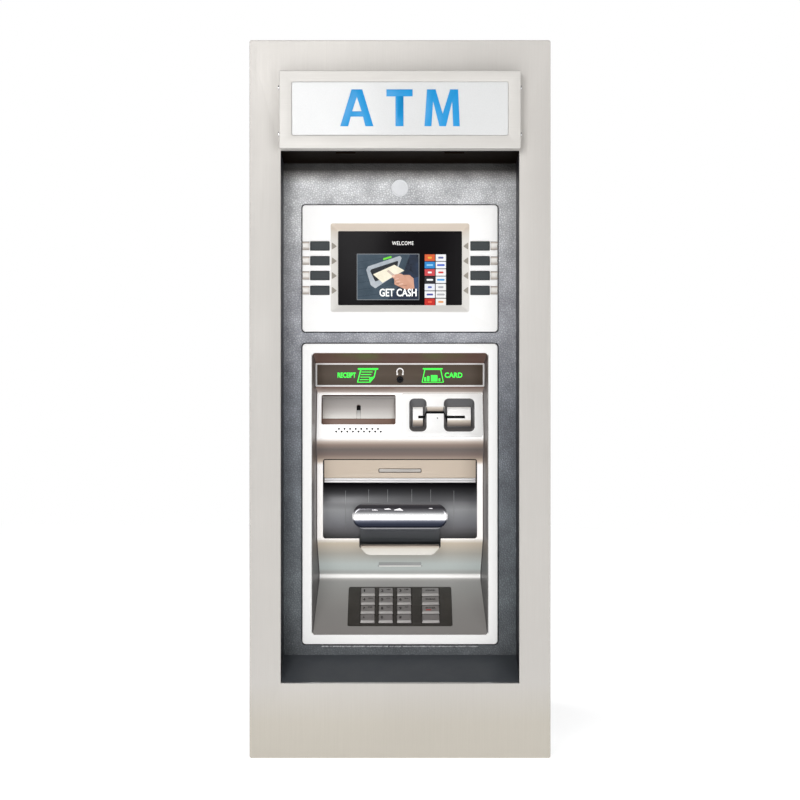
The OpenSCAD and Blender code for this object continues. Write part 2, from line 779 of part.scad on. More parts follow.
module dispenser() {
    side = cassette_w / 2 + 6;
    y = safe_front + 20;
    rollers = [[40, 420], [70, 330], [250, 420], [190, 230], [15, 330], [15, 250]];
    color("slategray") {
        for (s = [-1, 1]) {
            difference() {
                block([s * side - 1.5, y, safe_wall], [s * side + 1.5, y + 330, 460]);
                block([s * side - 5, y + 70, 250], [s * side + 5, y + 280, 380]);
            }
            // guides out through the safe's front slot
            block([s * 71 - 2, safe_front - 14, 406], [s * 71 + 2, y + 20, 436]);
            block([s * 86 - 15, y + 8, 404], [s * 86 + 15, y + 16, 438]);
        }
        block([-side, y, safe_wall], [side, y + 330, safe_wall + 4]);
        block([-side, y + 10, 450], [side, y + 320, 453]);
        block([-side, y, 170], [side, y + 260, 173]);
        for (p = rollers) rod_x(9, 2 * side - 2.5, 0, y + p[0], p[1], 32);
        // transport plates, down to the cash outlet
        along_x(138) polygon([[y + 10, 408], [safe_front - 14, 408], [drum_y - 42, 382],
            [drum_y - 43, 383.6], [safe_front - 15, 410], [y + 10, 410]]);
        along_x(138) polygon([[y + 10, 432], [safe_front - 18, 432], [drum_y - 48, 399],
            [drum_y - 49, 400.6], [safe_front - 19, 434], [y + 10, 434]]);
    }
}

module cassette() {
    half = cassette_w / 2 - 1;
    y = [safe_front + 40, safe_front + 365];
    z = [safe_wall + 4.3, 150];
    color([0.16, 0.18, 0.22]) {
        difference() {
            block([-half, y[0], z[0]], [half, y[1], z[1]]);
            block([-half + 4, y[0] + 4, z[0] + 4], [half - 4, y[1] - 12, z[1] - 4]);
            block([-half + 20, y[0] - 1, z[0] + 20], [half - 20, y[0] + 6, z[1] - 20]);
        }
        // carrying handle
        for (x = [-45, 45]) block([x - 5, y[1], 96], [x + 5, y[1] + 24, 108]);
        block([-50, y[1] + 18, 96], [50, y[1] + 30, 108]);
    }
}

module computer() {
    z = 762;
    color("darkslategray") {
        block([-20, 60, z], [190, 300, z + 90]);
        rod_y(30, 4, 140, 300, z + 45);
        for (x = [0, 30, 60]) block([x - 8, 300, z + 16], [x + 8, 306, z + 30]);
    }
}

module screws() {
    r = 4;
    t = 2.6;
    color("lightgray") {
        // sign box
        for (side = [-1, 1], z = [1075, 1155])
            translate([side * (recess_w / 2 + 0.5), front_y - sign_d / 2, z])
                rotate([0, side * 90, 0]) cylinder(r = r, h = t, $fn = 32);
        // cabinet sides and roof to the trim panel
        for (side = [-1, 1], z = [80, 250, 420, 640, 860, 1080])
            translate([side * body_w / 2, cab_front + 20, z])
                rotate([0, side * 90, 0]) cylinder(r = r, h = t, $fn = 32);
        for (x = [-160, 0, 160]) translate([x, cab_front + 20, cab_top])
            cylinder(r = r, h = t, $fn = 32);
    }
}

surround();
recess_liner();
sign_housing();
sign_lens();
sign_lamp();
trim_panel();
camera();
screen_bezel();
display();
for (i = [0:3]) {
    soft_key(-1, i);
    soft_key(1, i);
}
fascia_body();
header_panel();
headphone_jack();
receipt_flap();
receipt_printer();
paper_roll();
card_bezel();
card_reader();
outlet_visor();
outlet_drum();
cash_lip();
cash_shutter();
cash_tray();
keypad_body();
for (r = [0:3], c = [0:3])
    keypad_key(c, r);
cabinet();
rear_door();
door_lock();
safe_body();
safe_door();
safe_handle();
safe_dial();
safe_bolts();
dispenser();
cassette();
computer();
hinge_pins();
screws();
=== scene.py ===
"""Builds the looks of a through-the-wall cash machine round its packed CAD frame."""
import math

import bmesh
import bpy
from bpy.props import FloatProperty, FloatVectorProperty, PointerProperty
from mathutils import Matrix, Vector


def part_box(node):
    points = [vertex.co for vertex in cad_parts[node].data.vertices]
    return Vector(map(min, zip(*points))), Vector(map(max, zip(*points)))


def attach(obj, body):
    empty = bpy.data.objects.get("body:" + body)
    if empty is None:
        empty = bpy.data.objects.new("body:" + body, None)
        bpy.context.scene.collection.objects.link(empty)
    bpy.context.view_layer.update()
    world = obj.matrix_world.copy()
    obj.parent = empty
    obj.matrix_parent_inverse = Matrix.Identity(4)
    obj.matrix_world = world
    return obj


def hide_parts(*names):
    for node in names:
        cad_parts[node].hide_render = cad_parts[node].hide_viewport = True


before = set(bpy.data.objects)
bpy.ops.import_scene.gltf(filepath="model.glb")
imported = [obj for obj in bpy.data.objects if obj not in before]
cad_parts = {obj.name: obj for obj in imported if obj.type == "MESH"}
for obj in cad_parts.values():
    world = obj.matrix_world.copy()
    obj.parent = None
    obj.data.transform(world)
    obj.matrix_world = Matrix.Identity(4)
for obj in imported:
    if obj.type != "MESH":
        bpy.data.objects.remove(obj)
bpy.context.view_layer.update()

bl_info = {
    "name": "Through-the-wall cash machine",
    "version": (1, 0, 0),
    "blender": (4, 5, 0),
    "location": "View3D > Sidebar > Cash machine",
    "description": "Builds the surround, fascia, keypad, cabinet and safe of a cash machine",
    "category": "Object",
}

MM = 0.001
HOUSING = "housing"


def edge(node, axis, high=False):
    """A side of a CAD node's box, in millimetres."""
    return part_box(node)[1 if high else 0][axis] / MM


def front_size(node):
    """The width, the height and the middle height of a CAD node's box, in millimetres."""
    low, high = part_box(node)
    return (high.x - low.x) / MM, (high.z - low.z) / MM, (high.z + low.z) / 2 / MM


FRONT = edge("surround", 1)          # the surround's face
TRIM = edge("trim_panel", 1)         # the trim panel's face
FACE = edge("screen_bezel", 1)       # both fascia bezels' face
SIGN = edge("sign_housing", 1)       # the sign box's face
REAR = edge("safe_body", 1, True)    # the safe's rear edge
LINER_HALF = 206.0                   # half the width of the recess
SIGN_WINDOW_Z = 1116.75              # middle height of the sign's window
CAMERA_Z = 994.6                     # height of the camera window
FASCIA_Z, FASCIA_TALL = 452.0, 532.6  # the lower bezel's middle height and its height
JACK_Z = 655.4                       # height of the headphone socket
LIP_Z = 408.6                        # height of the chrome lip
MARKER_Z = 318                       # height of the banknote marker


# ---- outlines, in millimetres ----

def arc(cx, cz, r, start, end, steps=8):
    """Points on an arc, with its angles in degrees."""
    turn = [math.radians(start + (end - start) * i / steps) for i in range(steps + 1)]
    return [(cx + r * math.cos(a), cz + r * math.sin(a)) for a in turn]


def rect(w, h, r, x=0.0, z=0.0, steps=6):
    """A rounded rectangle, centred on x and z."""
    points = []
    for sx, sz, start in ((1, 1, 0), (-1, 1, 90), (-1, -1, 180), (1, -1, 270)):
        points += arc(x + sx * (w / 2 - r), z + sz * (h / 2 - r), r, start, start + 90, steps)
    return points


def disc(r, x=0.0, z=0.0, steps=32):
    return arc(x, z, r, 0, 360 - 360 / steps, steps - 1)


def ring_at(y, *size):
    """A rounded rectangle as a ring of (x, y, z) points at depth y."""
    return [(x, y, z) for x, z in rect(*size)]


def filleted(corners, closed=True, step=9.0):
    """An outline whose (x, z, radius) corners are rounded with short arcs."""
    points = []
    n = len(corners)
    for i, (x, z, r) in enumerate(corners):
        here = Vector((x, z))
        if r <= 0 or (not closed and i in (0, n - 1)):
            points.append((x, z))
            continue
        a = (Vector(corners[i - 1][:2]) - here).normalized()
        b = (Vector(corners[(i + 1) % n][:2]) - here).normalized()
        half = a.angle(b) / 2
        centre = here + (a + b).normalized() * (r / math.sin(half))
        start = here + a * (r / math.tan(half)) - centre
        end = here + b * (r / math.tan(half)) - centre
        turn = math.atan2(start.x * end.y - start.y * end.x, start.dot(end))
        steps = max(2, round(abs(math.degrees(turn)) / step))
        for k in range(steps + 1):
            t = turn * k / steps
            c, s = math.cos(t), math.sin(t)
            points.append((centre.x + start.x * c - start.y * s,
                           centre.y + start.x * s + start.y * c))
    return points


# ---- meshes ----

def linked(name, mesh):
    obj = bpy.data.objects.new(name, mesh)
    bpy.context.scene.collection.objects.link(obj)
    return obj


def applied(obj):
    """Replaces the object's mesh with what its modifiers make of it."""
    shape = obj.evaluated_get(bpy.context.evaluated_depsgraph_get())
    mesh = bpy.data.meshes.new_from_object(shape)
    mesh.name = obj.name
    obj.modifiers.clear()
    obj.data = mesh
    return obj


def smoothed(obj, angle=32.0):
    obj.data.shade_smooth()
    obj.data.set_sharp_from_angle(angle=math.radians(angle))
    return obj


def placed(obj, matrix):
    """Moves the object's vertices, so that its origin stays at the frame's."""
    obj.data.transform(matrix)
    return obj


def moved(obj, x, y, z):
    """Moves the object's vertices by so many millimetres."""
    return placed(obj, Matrix.Translation((x * MM, y * MM, z * MM)))


def upright(y):
    """Turns a shape drawn in X and Y so that it faces the customer at depth y."""
    return Matrix.Translation((0, y * MM, 0)) @ Matrix.Rotation(math.radians(90), 4, "X")


def flat_shape(name, loops, thickness, bevel=0.0, segments=2):
    """A sheet with holes, drawn in X and Y and centred on Z, with rounded edges."""
    curve = bpy.data.curves.new(name, "CURVE")
    curve.dimensions = "2D"
    curve.fill_mode = "BOTH"
    curve.extrude = max(thickness / 2 - bevel, 0.0) * MM
    curve.bevel_depth = bevel * MM
    curve.bevel_resolution = segments
    curve.offset = -bevel * MM
    for n, loop in enumerate(loops):
        area = sum(a[0] * b[1] - b[0] * a[1] for a, b in zip(loop, loop[1:] + loop[:1]))
        if (area > 0) != (n == 0):
            loop = loop[::-1]
        spline = curve.splines.new("POLY")
        spline.points.add(len(loop) - 1)
        for point, (x, z) in zip(spline.points, loop):
            point.co = (x * MM, z * MM, 0, 1)
        spline.use_cyclic_u = True
    return from_curve(name, curve)


def from_curve(name, curve):
    """Turns a curve or a text into a clean mesh object."""
    holder = linked(name, curve)
    shape = holder.evaluated_get(bpy.context.evaluated_depsgraph_get())
    mesh = bpy.data.meshes.new_from_object(shape)
    bpy.data.objects.remove(holder)
    bpy.data.curves.remove(curve)
    mesh.name = name
    mesh.materials.clear()
    work = bmesh.new()
    work.from_mesh(mesh)
    bmesh.ops.remove_doubles(work, verts=work.verts, dist=1e-6)
    bmesh.ops.dissolve_degenerate(work, edges=work.edges, dist=1e-6)
    bmesh.ops.recalc_face_normals(work, faces=work.faces)
    work.to_mesh(mesh)
    work.free()
    return smoothed(linked(name, mesh))


def panel(name, loops, y0, y1, bevel=0.6, segments=2):
    """An upright sheet from depth y0 to y1, drawn in X and Z."""
    return placed(flat_shape(name, loops, y1 - y0, bevel, segments), upright((y0 + y1) / 2))


def from_rings(name, rings, capped=True, closed=True):
    """A skin over rings of (x, y, z) points in millimetres."""
    work = bmesh.new()
    rows = [[work.verts.new([c * MM for c in p]) for p in ring] for ring in rings]
    count = len(rings[0])
    for low, high in zip(rows, rows[1:]):
        for i in range(count if closed else count - 1):
            j = (i + 1) % count
            work.faces.new((low[i], low[j], high[j], high[i]))
    if capped:
        work.faces.new(rows[0][::-1])
        work.faces.new(rows[-1])
    bmesh.ops.remove_doubles(work, verts=work.verts, dist=1e-6)
    bmesh.ops.recalc_face_normals(work, faces=work.faces)
    mesh = bpy.data.meshes.new(name)
    work.to_mesh(mesh)
    work.free()
    return smoothed(linked(name, mesh))


def sweep(name, outline, x0, x1, bevel=0.5, segments=2):
    """An outline in Y and Z drawn out along X, with rounded edges."""
    obj = flat_shape(name, [outline], x1 - x0, bevel, segments)
    turn = Matrix(((0, 0, 1, 0), (1, 0, 0, 0), (0, 1, 0, 0), (0, 0, 0, 1)))
    return placed(obj, Matrix.Translation(((x0 + x1) / 2 * MM, 0, 0)) @ turn)


def turned(name, profile, centre, axis="Y", steps=48, capped=True):
    """A turned part: (radius, along) points spun round an axis through centre."""
    rings = []
    for r, along in profile:
        ring = []
        for k in range(steps):
            a = 2 * math.pi * k / steps
            u, v = r * math.cos(a), r * math.sin(a)
            local = {"Y": (u, along, v), "X": (along, u, v), "Z": (u, v, along)}[axis]
            ring.append([c + d for c, d in zip(centre, local)])
        rings.append(ring)
    return from_rings(name, rings, capped)


def cut(obj, tools, edge_bevel=0.0):
    """Cuts the tools' shapes out of the object, and softens the new edges."""
    for tool in tools:
        step = obj.modifiers.new("cut", "BOOLEAN")
        step.operation = "DIFFERENCE"
        step.solver = "EXACT"
        step.object = tool
        applied(obj)
        bpy.data.objects.remove(tool)
    if edge_bevel:
        soften(obj, edge_bevel)
        applied(obj)
    return smoothed(obj)


def soften(obj, width, segments=2, angle=50.0):
    step = obj.modifiers.new("edges", "BEVEL")
    step.width = width * MM
    step.segments = segments
    step.limit_method = "ANGLE"
    step.angle_limit = math.radians(angle)


def merged(name, objects):
    """Joins finished shapes into one object, keeping their materials."""
    work = bmesh.new()
    mesh = bpy.data.meshes.new(name)
    for obj in objects:
        source = obj.data
        first = len(mesh.materials)
        for material in source.materials:
            mesh.materials.append(material)
        before = len(work.faces)
        work.from_mesh(source)
        work.faces.ensure_lookup_table()
        for face in work.faces[before:]:
            face.material_index += first
        bpy.data.objects.remove(obj)
    work.to_mesh(mesh)
    work.free()
    return linked(name, mesh)


def joined(name, objects, angle=32.0):
    return smoothed(merged(name, objects), angle)


def painted(obj, *materials):
    obj.data.materials.clear()
    for material in materials:
        obj.data.materials.append(material)
    return obj


def fitted(obj, material=None, body=HOUSING, stands_for=()):
    """Finishes a piece: its material, its body and what it replaces."""
    if material:
        painted(obj, material)
    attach(obj, body)
    if stands_for:
        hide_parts(*stands_for)
    return obj


def lettering(name, words, height, width, depth=0.12, weight=0.0, spread=1.0):
    """Plain raised lettering, centred, drawn in X and Y to a width and a height."""
    curve = bpy.data.curves.new(name, "FONT")
    curve.body = words
    curve.align_x = "CENTER"
    curve.offset = weight
    curve.space_character = spread
    curve.extrude = 0.05
    curve.resolution_u = 3
    obj = from_curve(name, curve)
    low = [min(v.co[k] for v in obj.data.vertices) for k in range(3)]
    high = [max(v.co[k] for v in obj.data.vertices) for k in range(3)]
    mid = [-(a + b) / 2 for a, b in zip(low, high)]
    size = [width * MM / (high[0] - low[0]), height * MM / (high[1] - low[1]),
            depth * MM / (high[2] - low[2])]
    placed(obj, Matrix.Diagonal((*size, 1)) @ Matrix.Translation(mid))
    return smoothed(obj, 40)


def printed(name, words, place, material, slot, *form):
    """Upright lettering, centred at a place in millimetres."""
    x, y, z = place
    text = lettering(name, words, *form)
    placed(text, upright(y) @ Matrix.Translation((x * MM, z * MM, 0)))
    return fitted(text, material)


# ---- shader node groups ----

def value_group(name, inputs, outputs, build):
    """A shader node group made once: inputs are (name, kind, default)."""
    tree = bpy.data.node_groups.new(name, "ShaderNodeTree")
    for label, kind, default in inputs:
        socket = tree.interface.new_socket(label, in_out="INPUT", socket_type=kind)
        socket.default_value = default
    for label, kind in outputs:
        tree.interface.new_socket(label, in_out="OUTPUT", socket_type=kind)
    start = tree.nodes.new("NodeGroupInput")
    end = tree.nodes.new("NodeGroupOutput")
    build(tree, start, end)
    return tree


def node(tree, kind, values=(), **settings):
    """A node with settings and input values by name or number."""
    made = tree.nodes.new(kind)
    for key, value in settings.items():
        setattr(made, key, value)
    for key, value in dict(values).items():
        made.inputs[key].default_value = value
    return made


def feed(tree, value, socket):
    """Links another node's socket to this one, or sets a plain value."""
    if hasattr(value, "links"):
        tree.links.new(value, socket)
    else:
        socket.default_value = value


def noise(tree, vector, scale, detail=4.0, rough=0.55):
    made = node(tree, "ShaderNodeTexNoise", {"Detail": detail, "Roughness": rough})
    feed(tree, scale, made.inputs["Scale"])
    tree.links.new(vector, made.inputs["Vector"])
    return made.outputs["Fac"]


def ranged(tree, value, low, high, to_low, to_high):
    made = node(tree, "ShaderNodeMapRange", {"From Min": low, "From Max": high,
                                             "To Min": to_low, "To Max": to_high})
    tree.links.new(value, made.inputs["Value"])
    return made.outputs["Result"]


def maths(tree, operation, a, b=None):
    made = node(tree, "ShaderNodeMath", operation=operation)
    for socket, value in zip(made.inputs, (a, b)):
        if value is not None:
            feed(tree, value, socket)
    return made.outputs[0]


def build_grain(tree, start, end):
    """Long fine scratches: a noise squeezed across the grain's direction."""
    place = node(tree, "ShaderNodeTexCoord").outputs["Object"]
    stretch = node(tree, "ShaderNodeVectorMath", operation="MULTIPLY")
    tree.links.new(place, stretch.inputs[0])
    tree.links.new(start.outputs["Stretch"], stretch.inputs[1])
    fine = noise(tree, stretch.outputs[0], 1.0, 6.0, 0.7)
    tree.links.new(fine, end.inputs["Height"])
    tree.links.new(ranged(tree, fine, 0.3, 0.7, 0, 1), end.inputs["Mask"])


def build_cloud(tree, start, end):
    """Soft uneven patches, for handling marks and uneven paint."""
    place = node(tree, "ShaderNodeTexCoord").outputs["Object"]
    broad = noise(tree, place, start.outputs["Scale"], 5.0, 0.6)
    tree.links.new(ranged(tree, broad, 0.32, 0.68, 0, 1), end.inputs["Mask"])


def build_pebble(tree, start, end):
    """Embossed leather-like cells with smaller pores between them."""
    place = node(tree, "ShaderNodeTexCoord").outputs["Object"]
    warp = node(tree, "ShaderNodeTexNoise", {"Scale": 260.0, "Detail": 2.0})
    tree.links.new(place, warp.inputs["Vector"])
    shift = node(tree, "ShaderNodeVectorMath", operation="MULTIPLY_ADD")
    shift.inputs[1].default_value = (0.0022, 0.0022, 0.0022)
    tree.links.new(warp.outputs["Color"], shift.inputs[0])
    tree.links.new(place, shift.inputs[2])
    cells = node(tree, "ShaderNodeTexVoronoi", feature="DISTANCE_TO_EDGE")
    tree.links.new(start.outputs["Scale"], cells.inputs["Scale"])
    tree.links.new(shift.outputs[0], cells.inputs["Vector"])
    rounded = ranged(tree, cells.outputs["Distance"], 0.0, 0.28, 0, 1)
    pores = noise(tree, place, 1400.0, 3.0, 0.6)
    height = maths(tree, "MULTIPLY_ADD", pores, 0.35)
    tree.links.new(rounded, tree.nodes[-1].inputs[2])
    tree.links.new(height, end.inputs["Height"])
    tree.links.new(rounded, end.inputs["Mask"])


def build_wear(tree, start, end):
    """A mask along the edges, broken up by noise."""
    place = node(tree, "ShaderNodeTexCoord").outputs["Object"]
    here = node(tree, "ShaderNodeNewGeometry").outputs["Normal"]
    soft = node(tree, "ShaderNodeBevel", samples=4)
    tree.links.new(start.outputs["Radius"], soft.inputs["Radius"])
    same = node(tree, "ShaderNodeVectorMath", operation="DOT_PRODUCT")
    tree.links.new(soft.outputs[0], same.inputs[0])
    tree.links.new(here, same.inputs[1])
    rim = ranged(tree, same.outputs["Value"], 0.995, 0.90, 0, 1)
    broken = ranged(tree, noise(tree, place, 90.0, 4.0, 0.65), 0.42, 0.62, 0, 1)
    tree.links.new(maths(tree, "MULTIPLY", rim, broken), end.inputs["Mask"])


def build_dust(tree, start, end):
    """A mask on faces that look up, where dust settles."""
    place = node(tree, "ShaderNodeTexCoord").outputs["Object"]
    facing = node(tree, "ShaderNodeSeparateXYZ")
    tree.links.new(node(tree, "ShaderNodeNewGeometry").outputs["Normal"], facing.inputs[0])
    up = ranged(tree, facing.outputs["Z"], 0.25, 0.95, 0, 1)
    patch = ranged(tree, noise(tree, place, 24.0, 6.0, 0.7), 0.3, 0.75, 0.35, 1)
    tree.links.new(maths(tree, "MULTIPLY", up, patch), end.inputs["Mask"])


def make_groups():
    one = "NodeSocketFloat"
    return {
        "grain": value_group("Brushed grain", [("Stretch", "NodeSocketVector", (900, 900, 8))],
                             [("Height", one), ("Mask", one)], build_grain),
        "cloud": value_group("Uneven patches", [("Scale", one, 9.0)], [("Mask", one)], build_cloud),
        "pebble": value_group("Embossed leather", [("Scale", one, 420.0)],
                              [("Height", one), ("Mask", one)], build_pebble),
        "wear": value_group("Edge wear", [("Radius", one, 0.0012)], [("Mask", one)], build_wear),
        "dust": value_group("Settled dust", [], [("Mask", one)], build_dust),
    }


GROUPS = {}
FINISHES = {}


def group_node(tree, kind, **values):
    if not GROUPS:
        GROUPS.update(make_groups())
    made = tree.nodes.new("ShaderNodeGroup")
    made.node_tree = GROUPS[kind]
    for key, value in values.items():
        made.inputs[key].default_value = value
    return made


def mixed(tree, factor, a, b, blend="MIX"):
    """Mixes two colours; each is a colour or a socket."""
    made = node(tree, "ShaderNodeMix", data_type="RGBA", blend_type=blend)
    sockets = [s for s in made.inputs if s.type == "RGBA"]
    for socket, value in zip(sockets, (a, b)):
        feed(tree, value if hasattr(value, "links") else (*value[:3], 1), socket)
    feed(tree, factor, made.inputs[0])
    return [s for s in made.outputs if s.type == "RGBA"][0]


def finish(name, colour, rough=0.5, metal=0.0, other=None, cloud=9.0, vary=0.5,
           rough_swing=0.08, grain=None, bump=0.0, pebble=None, speck=0.0, wear=None,
           dust=0.0, coat=0.0, bands=None, glow=0.0, specular=0.5,
           shade=(0.86, 0.86, 0.86)):
    """A finished surface: colour that varies over it, uneven gloss, fine relief and wear.

    Where light and shade are painted as colour that changes with height, colour
    is None, and bands is a list of (height in millimetres, colour)."""
    if name in FINISHES:
        return FINISHES[name]
    material = bpy.data.materials.new(name)
    material.use_nodes = True
    tree = material.node_tree
    shader = tree.nodes["Principled BSDF"]
    shader.inputs["Metallic"].default_value = metal
    shader.inputs["Coat Weight"].default_value = coat
    shader.inputs["Coat Roughness"].default_value = 0.08
    shader.inputs["Specular IOR Level"].default_value = specular
    place = node(tree, "ShaderNodeTexCoord").outputs["Object"]
    if bands:
        along = node(tree, "ShaderNodeSeparateXYZ")
        tree.links.new(place, along.inputs[0])
        low, high = bands[0][0], bands[-1][0]
        ramp = node(tree, "ShaderNodeValToRGB")
        tree.links.new(ranged(tree, along.outputs["Z"], low * MM, high * MM, 0, 1),
                       ramp.inputs[0])
        while len(ramp.color_ramp.elements) > 1:
            ramp.color_ramp.elements.remove(ramp.color_ramp.elements[0])
        for n, (position, tint) in enumerate(bands):
            spot = (position - low) / (high - low)
            stop = ramp.color_ramp.elements[0] if n == 0 else ramp.color_ramp.elements.new(spot)
            stop.position = spot
            stop.color = (*tint, 1)
        colour = ramp.outputs["Color"]
    patches = group_node(tree, "cloud", Scale=cloud).outputs["Mask"]
    base = mixed(tree, maths(tree, "MULTIPLY", patches, vary), colour, other or shade,
                 "MIX" if other else "MULTIPLY")
    gloss = ranged(tree, patches, 0, 1, rough - rough_swing / 2, rough + rough_swing / 2)
    height = None
    if grain:
        lines = group_node(tree, "grain", Stretch=grain)
        height = lines.outputs["Height"]
        base = mixed(tree, maths(tree, "MULTIPLY", lines.outputs["Mask"], 0.35), base,
                     (0.88, 0.88, 0.88), "MULTIPLY")
        gloss = maths(tree, "ADD", gloss, ranged(tree, height, 0.3, 0.7, -0.05, 0.05))
    elif pebble:
        cells = group_node(tree, "pebble", Scale=pebble)
        height = cells.outputs["Height"]
        base = mixed(tree, ranged(tree, cells.outputs["Mask"], 0, 1, 0.75, 0), base,
                     (0.45, 0.45, 0.47), "MULTIPLY")
    elif speck:
        height = noise(tree, place, speck, 3.0, 0.6)
        base = mixed(tree, ranged(tree, height, 0.35, 0.65, 0.25, 0), base,
                     (0.8, 0.8, 0.8), "MULTIPLY")
    if wear:
        rim = group_node(tree, "wear", Radius=0.0012).outputs["Mask"]
        base = mixed(tree, maths(tree, "MULTIPLY", rim, 0.6), base, wear)
    if dust:
        settled = maths(tree, "MULTIPLY", group_node(tree, "dust").outputs["Mask"], dust)
        base = mixed(tree, settled, base, (0.55, 0.52, 0.47))
        gloss = maths(tree, "ADD", gloss, maths(tree, "MULTIPLY", settled, 0.4))
    tree.links.new(base, shader.inputs["Base Color"])
    tree.links.new(gloss, shader.inputs["Roughness"])
    if height and bump:
        relief = node(tree, "ShaderNodeBump", {"Strength": bump, "Distance": 0.0004})
        tree.links.new(height, relief.inputs["Height"])
        tree.links.new(relief.outputs[0], shader.inputs["Normal"])
    if glow:
        tree.links.new(base, shader.inputs["Emission Color"])
        shader.inputs["Emission Strength"].default_value = glow
    FINISHES[name] = material
    return material


# ---- sizes and colours a user would change ----

def colour_prop(name, description, default):
    return FloatVectorProperty(name=name, description=description, default=default,
                               subtype="COLOR", size=3, min=0, max=1)


def length_prop(name, description, default):
    return FloatProperty(name=name, description=description, default=default,
                         unit="LENGTH", subtype="DISTANCE", min=0)


class MetalSettings(bpy.types.PropertyGroup):
    """The steel surround, the sign and the recess"""
    steel: colour_prop("Steel", "Colour of the brushed surround", (0.49, 0.47, 0.445))
    sign_steel: colour_prop("Sign steel", "Colour of the sign box", (0.62, 0.60, 0.57))
    liner: colour_prop("Liner", "Colour of the recess's walls", (0.014, 0.0135, 0.017))
    letters: colour_prop("Letters", "Colour of the sign's letters", (0.0075, 0.285, 0.64))
    letter_height: length_prop("Letter height", "Height of the sign's letters", 0.0629)


class FasciaSettings(bpy.types.PropertyGroup):
    """The two bezels, the niche and what is fitted in it"""
    bezel: colour_prop("Bezel", "Colour of both bezels", (0.95, 0.945, 0.935))
    beige: colour_prop("Beige", "Colour of the outlet's visor", (0.66, 0.55, 0.44))
    legend: colour_prop("Legend", "Colour of the lit legends", (0.03, 0.85, 0.05))
    key_face: colour_prop("Key face", "Colour of the metal keys", (0.34, 0.32, 0.32))
    keypad: colour_prop("Keypad", "Colour of the keypad's plate", (0.042, 0.037, 0.033))


class CabinetSettings(bpy.types.PropertyGroup):
    """The cabinet and the safe behind the wall"""
    paint: colour_prop("Cabinet paint", "Colour of the cabinet", (0.42, 0.43, 0.43))
    safe: colour_prop("Safe paint", "Colour of the safe", (0.075, 0.082, 0.09))


class StageSettings(bpy.types.PropertyGroup):
    """The floor, the lights and the camera"""
    floor: colour_prop("Floor", "Colour of the floor", (0.95, 0.95, 0.95))
    camera_distance: length_prop("Camera distance", "From the camera to the surround", 3.396)
    camera_height: length_prop("Camera height", "Height of the camera", 0.6185)
    lens: FloatProperty(name="Lens", description="Focal length in millimetres", default=88.5,
                        min=10)
    key_power: FloatProperty(name="Key light", description="Power of the main light", default=47.0,
                             min=0, unit="POWER")


# ---- surround, sign and recess ----

def metal():
    return bpy.context.scene.machine_metal


def fascia():
    return bpy.context.scene.machine_fascia


def steel_finish():
    tint = Vector(metal().steel)
    warm_shade = Vector((0.0, 0.012, 0.045))
    # The bands paint light and shade into the steel: lighter towards the top, where the light falls,
    # and darker and warmer towards the bottom.
    return finish("Brushed surround steel", None, 0.5, 0.3, cloud=2.2,
                  vary=0.3, rough_swing=0.08, grain=(650, 650, 9), bump=0.05,
                  wear=(0.75, 0.74, 0.72), bands=[
                      (0, tuple(tint * 1.04 - warm_shade)), (60, tuple(tint * 1.06 - warm_shade)),
                      (130, tuple(tint * 1.12)), (620, tuple(tint)), (1000, tuple(tint * 1.06)),
                      (1120, tuple(tint * 1.15)), (1240, tuple(tint * 1.25))])


def rubber():
    return finish("Black gasket", (0.012, 0.010, 0.012), 0.7, cloud=30, speck=1500,
                  bump=0.2, specular=0.2)


class CASH_MACHINE_OT_surround(bpy.types.Operator):
    """Steel surround: a face with a rounded opening and folded side returns"""
    bl_idname = "cash_machine.surround"
    bl_label = "Surround"

    def execute(self, context):
        w, h, _ = front_size("surround")
        back = edge("surround", 1, True)
        opening_low, opening_high = edge("recess_liner", 2) + 1.5, edge("sign_housing", 2)
        face = panel("surround_face", [
            [(x, z + h / 2) for x, z in rect(w, h, 3.5)],
            rect(2 * LINER_HALF, opening_high - opening_low, 1.2, 0,
                 (opening_low + opening_high) / 2)],
            FRONT, FRONT + 2, 0.8, 3)
        folds = []
        for side in (-1, 1):
            x = side * (w / 2 - 0.8)
            folds.append(panel("return", [rect(1.6, h - 4, 0.3, x, h / 2)], FRONT + 1.2, back, 0.2))
            x = side * (w / 2 - 7.6)
            folds.append(panel("lip", [rect(15, h - 4, 0.6, x, h / 2)], back - 2, back, 0.5))
        for z in (0.8, h - 0.8):
            folds.append(panel("return", [rect(w - 4, 1.6, 0.3, 0, z)], FRONT + 1.2, back, 0.2))
        for z in (7.6, h - 7.6):
            folds.append(panel("lip", [rect(w - 30, 15, 0.6, 0, z)], back - 2, back, 0.5))
        piece = joined("surround_steel", [face] + folds)
        fitted(piece, steel_finish(), stands_for=["surround"])
        return {"FINISHED"}


def sign_letters(height):
    """The letters A, T and M as outlines, on a grid where a letter is 1 high."""
    a = [[(0, 0), (0.217, 0), (0.285, 0.261), (0.617, 0.261), (0.685, 0), (0.902, 0),
          (0.598, 1), (0.307, 1)],
         [(0.325, 0.405), (0.452, 0.80), (0.577, 0.405)]]
    t = [[(0.247, 0), (0.465, 0), (0.465, 0.81), (0.712, 0.81), (0.712, 1), (0, 1),
          (0, 0.81), (0.247, 0.81)]]
    m = [[(0, 0), (0.189, 0), (0.234, 0.676), (0.405, 0), (0.586, 0), (0.752, 0.676),
          (0.779, 0), (0.959, 0), (0.914, 1), (0.698, 1), (0.495, 0.338), (0.302, 1),
          (0.068, 1)]]
    for loops, x in ((a, -1.625), (t, -0.37), (m, 0.665)):
        yield [[((px + x) * height, pz * height) for px, pz in loop] for loop in loops]


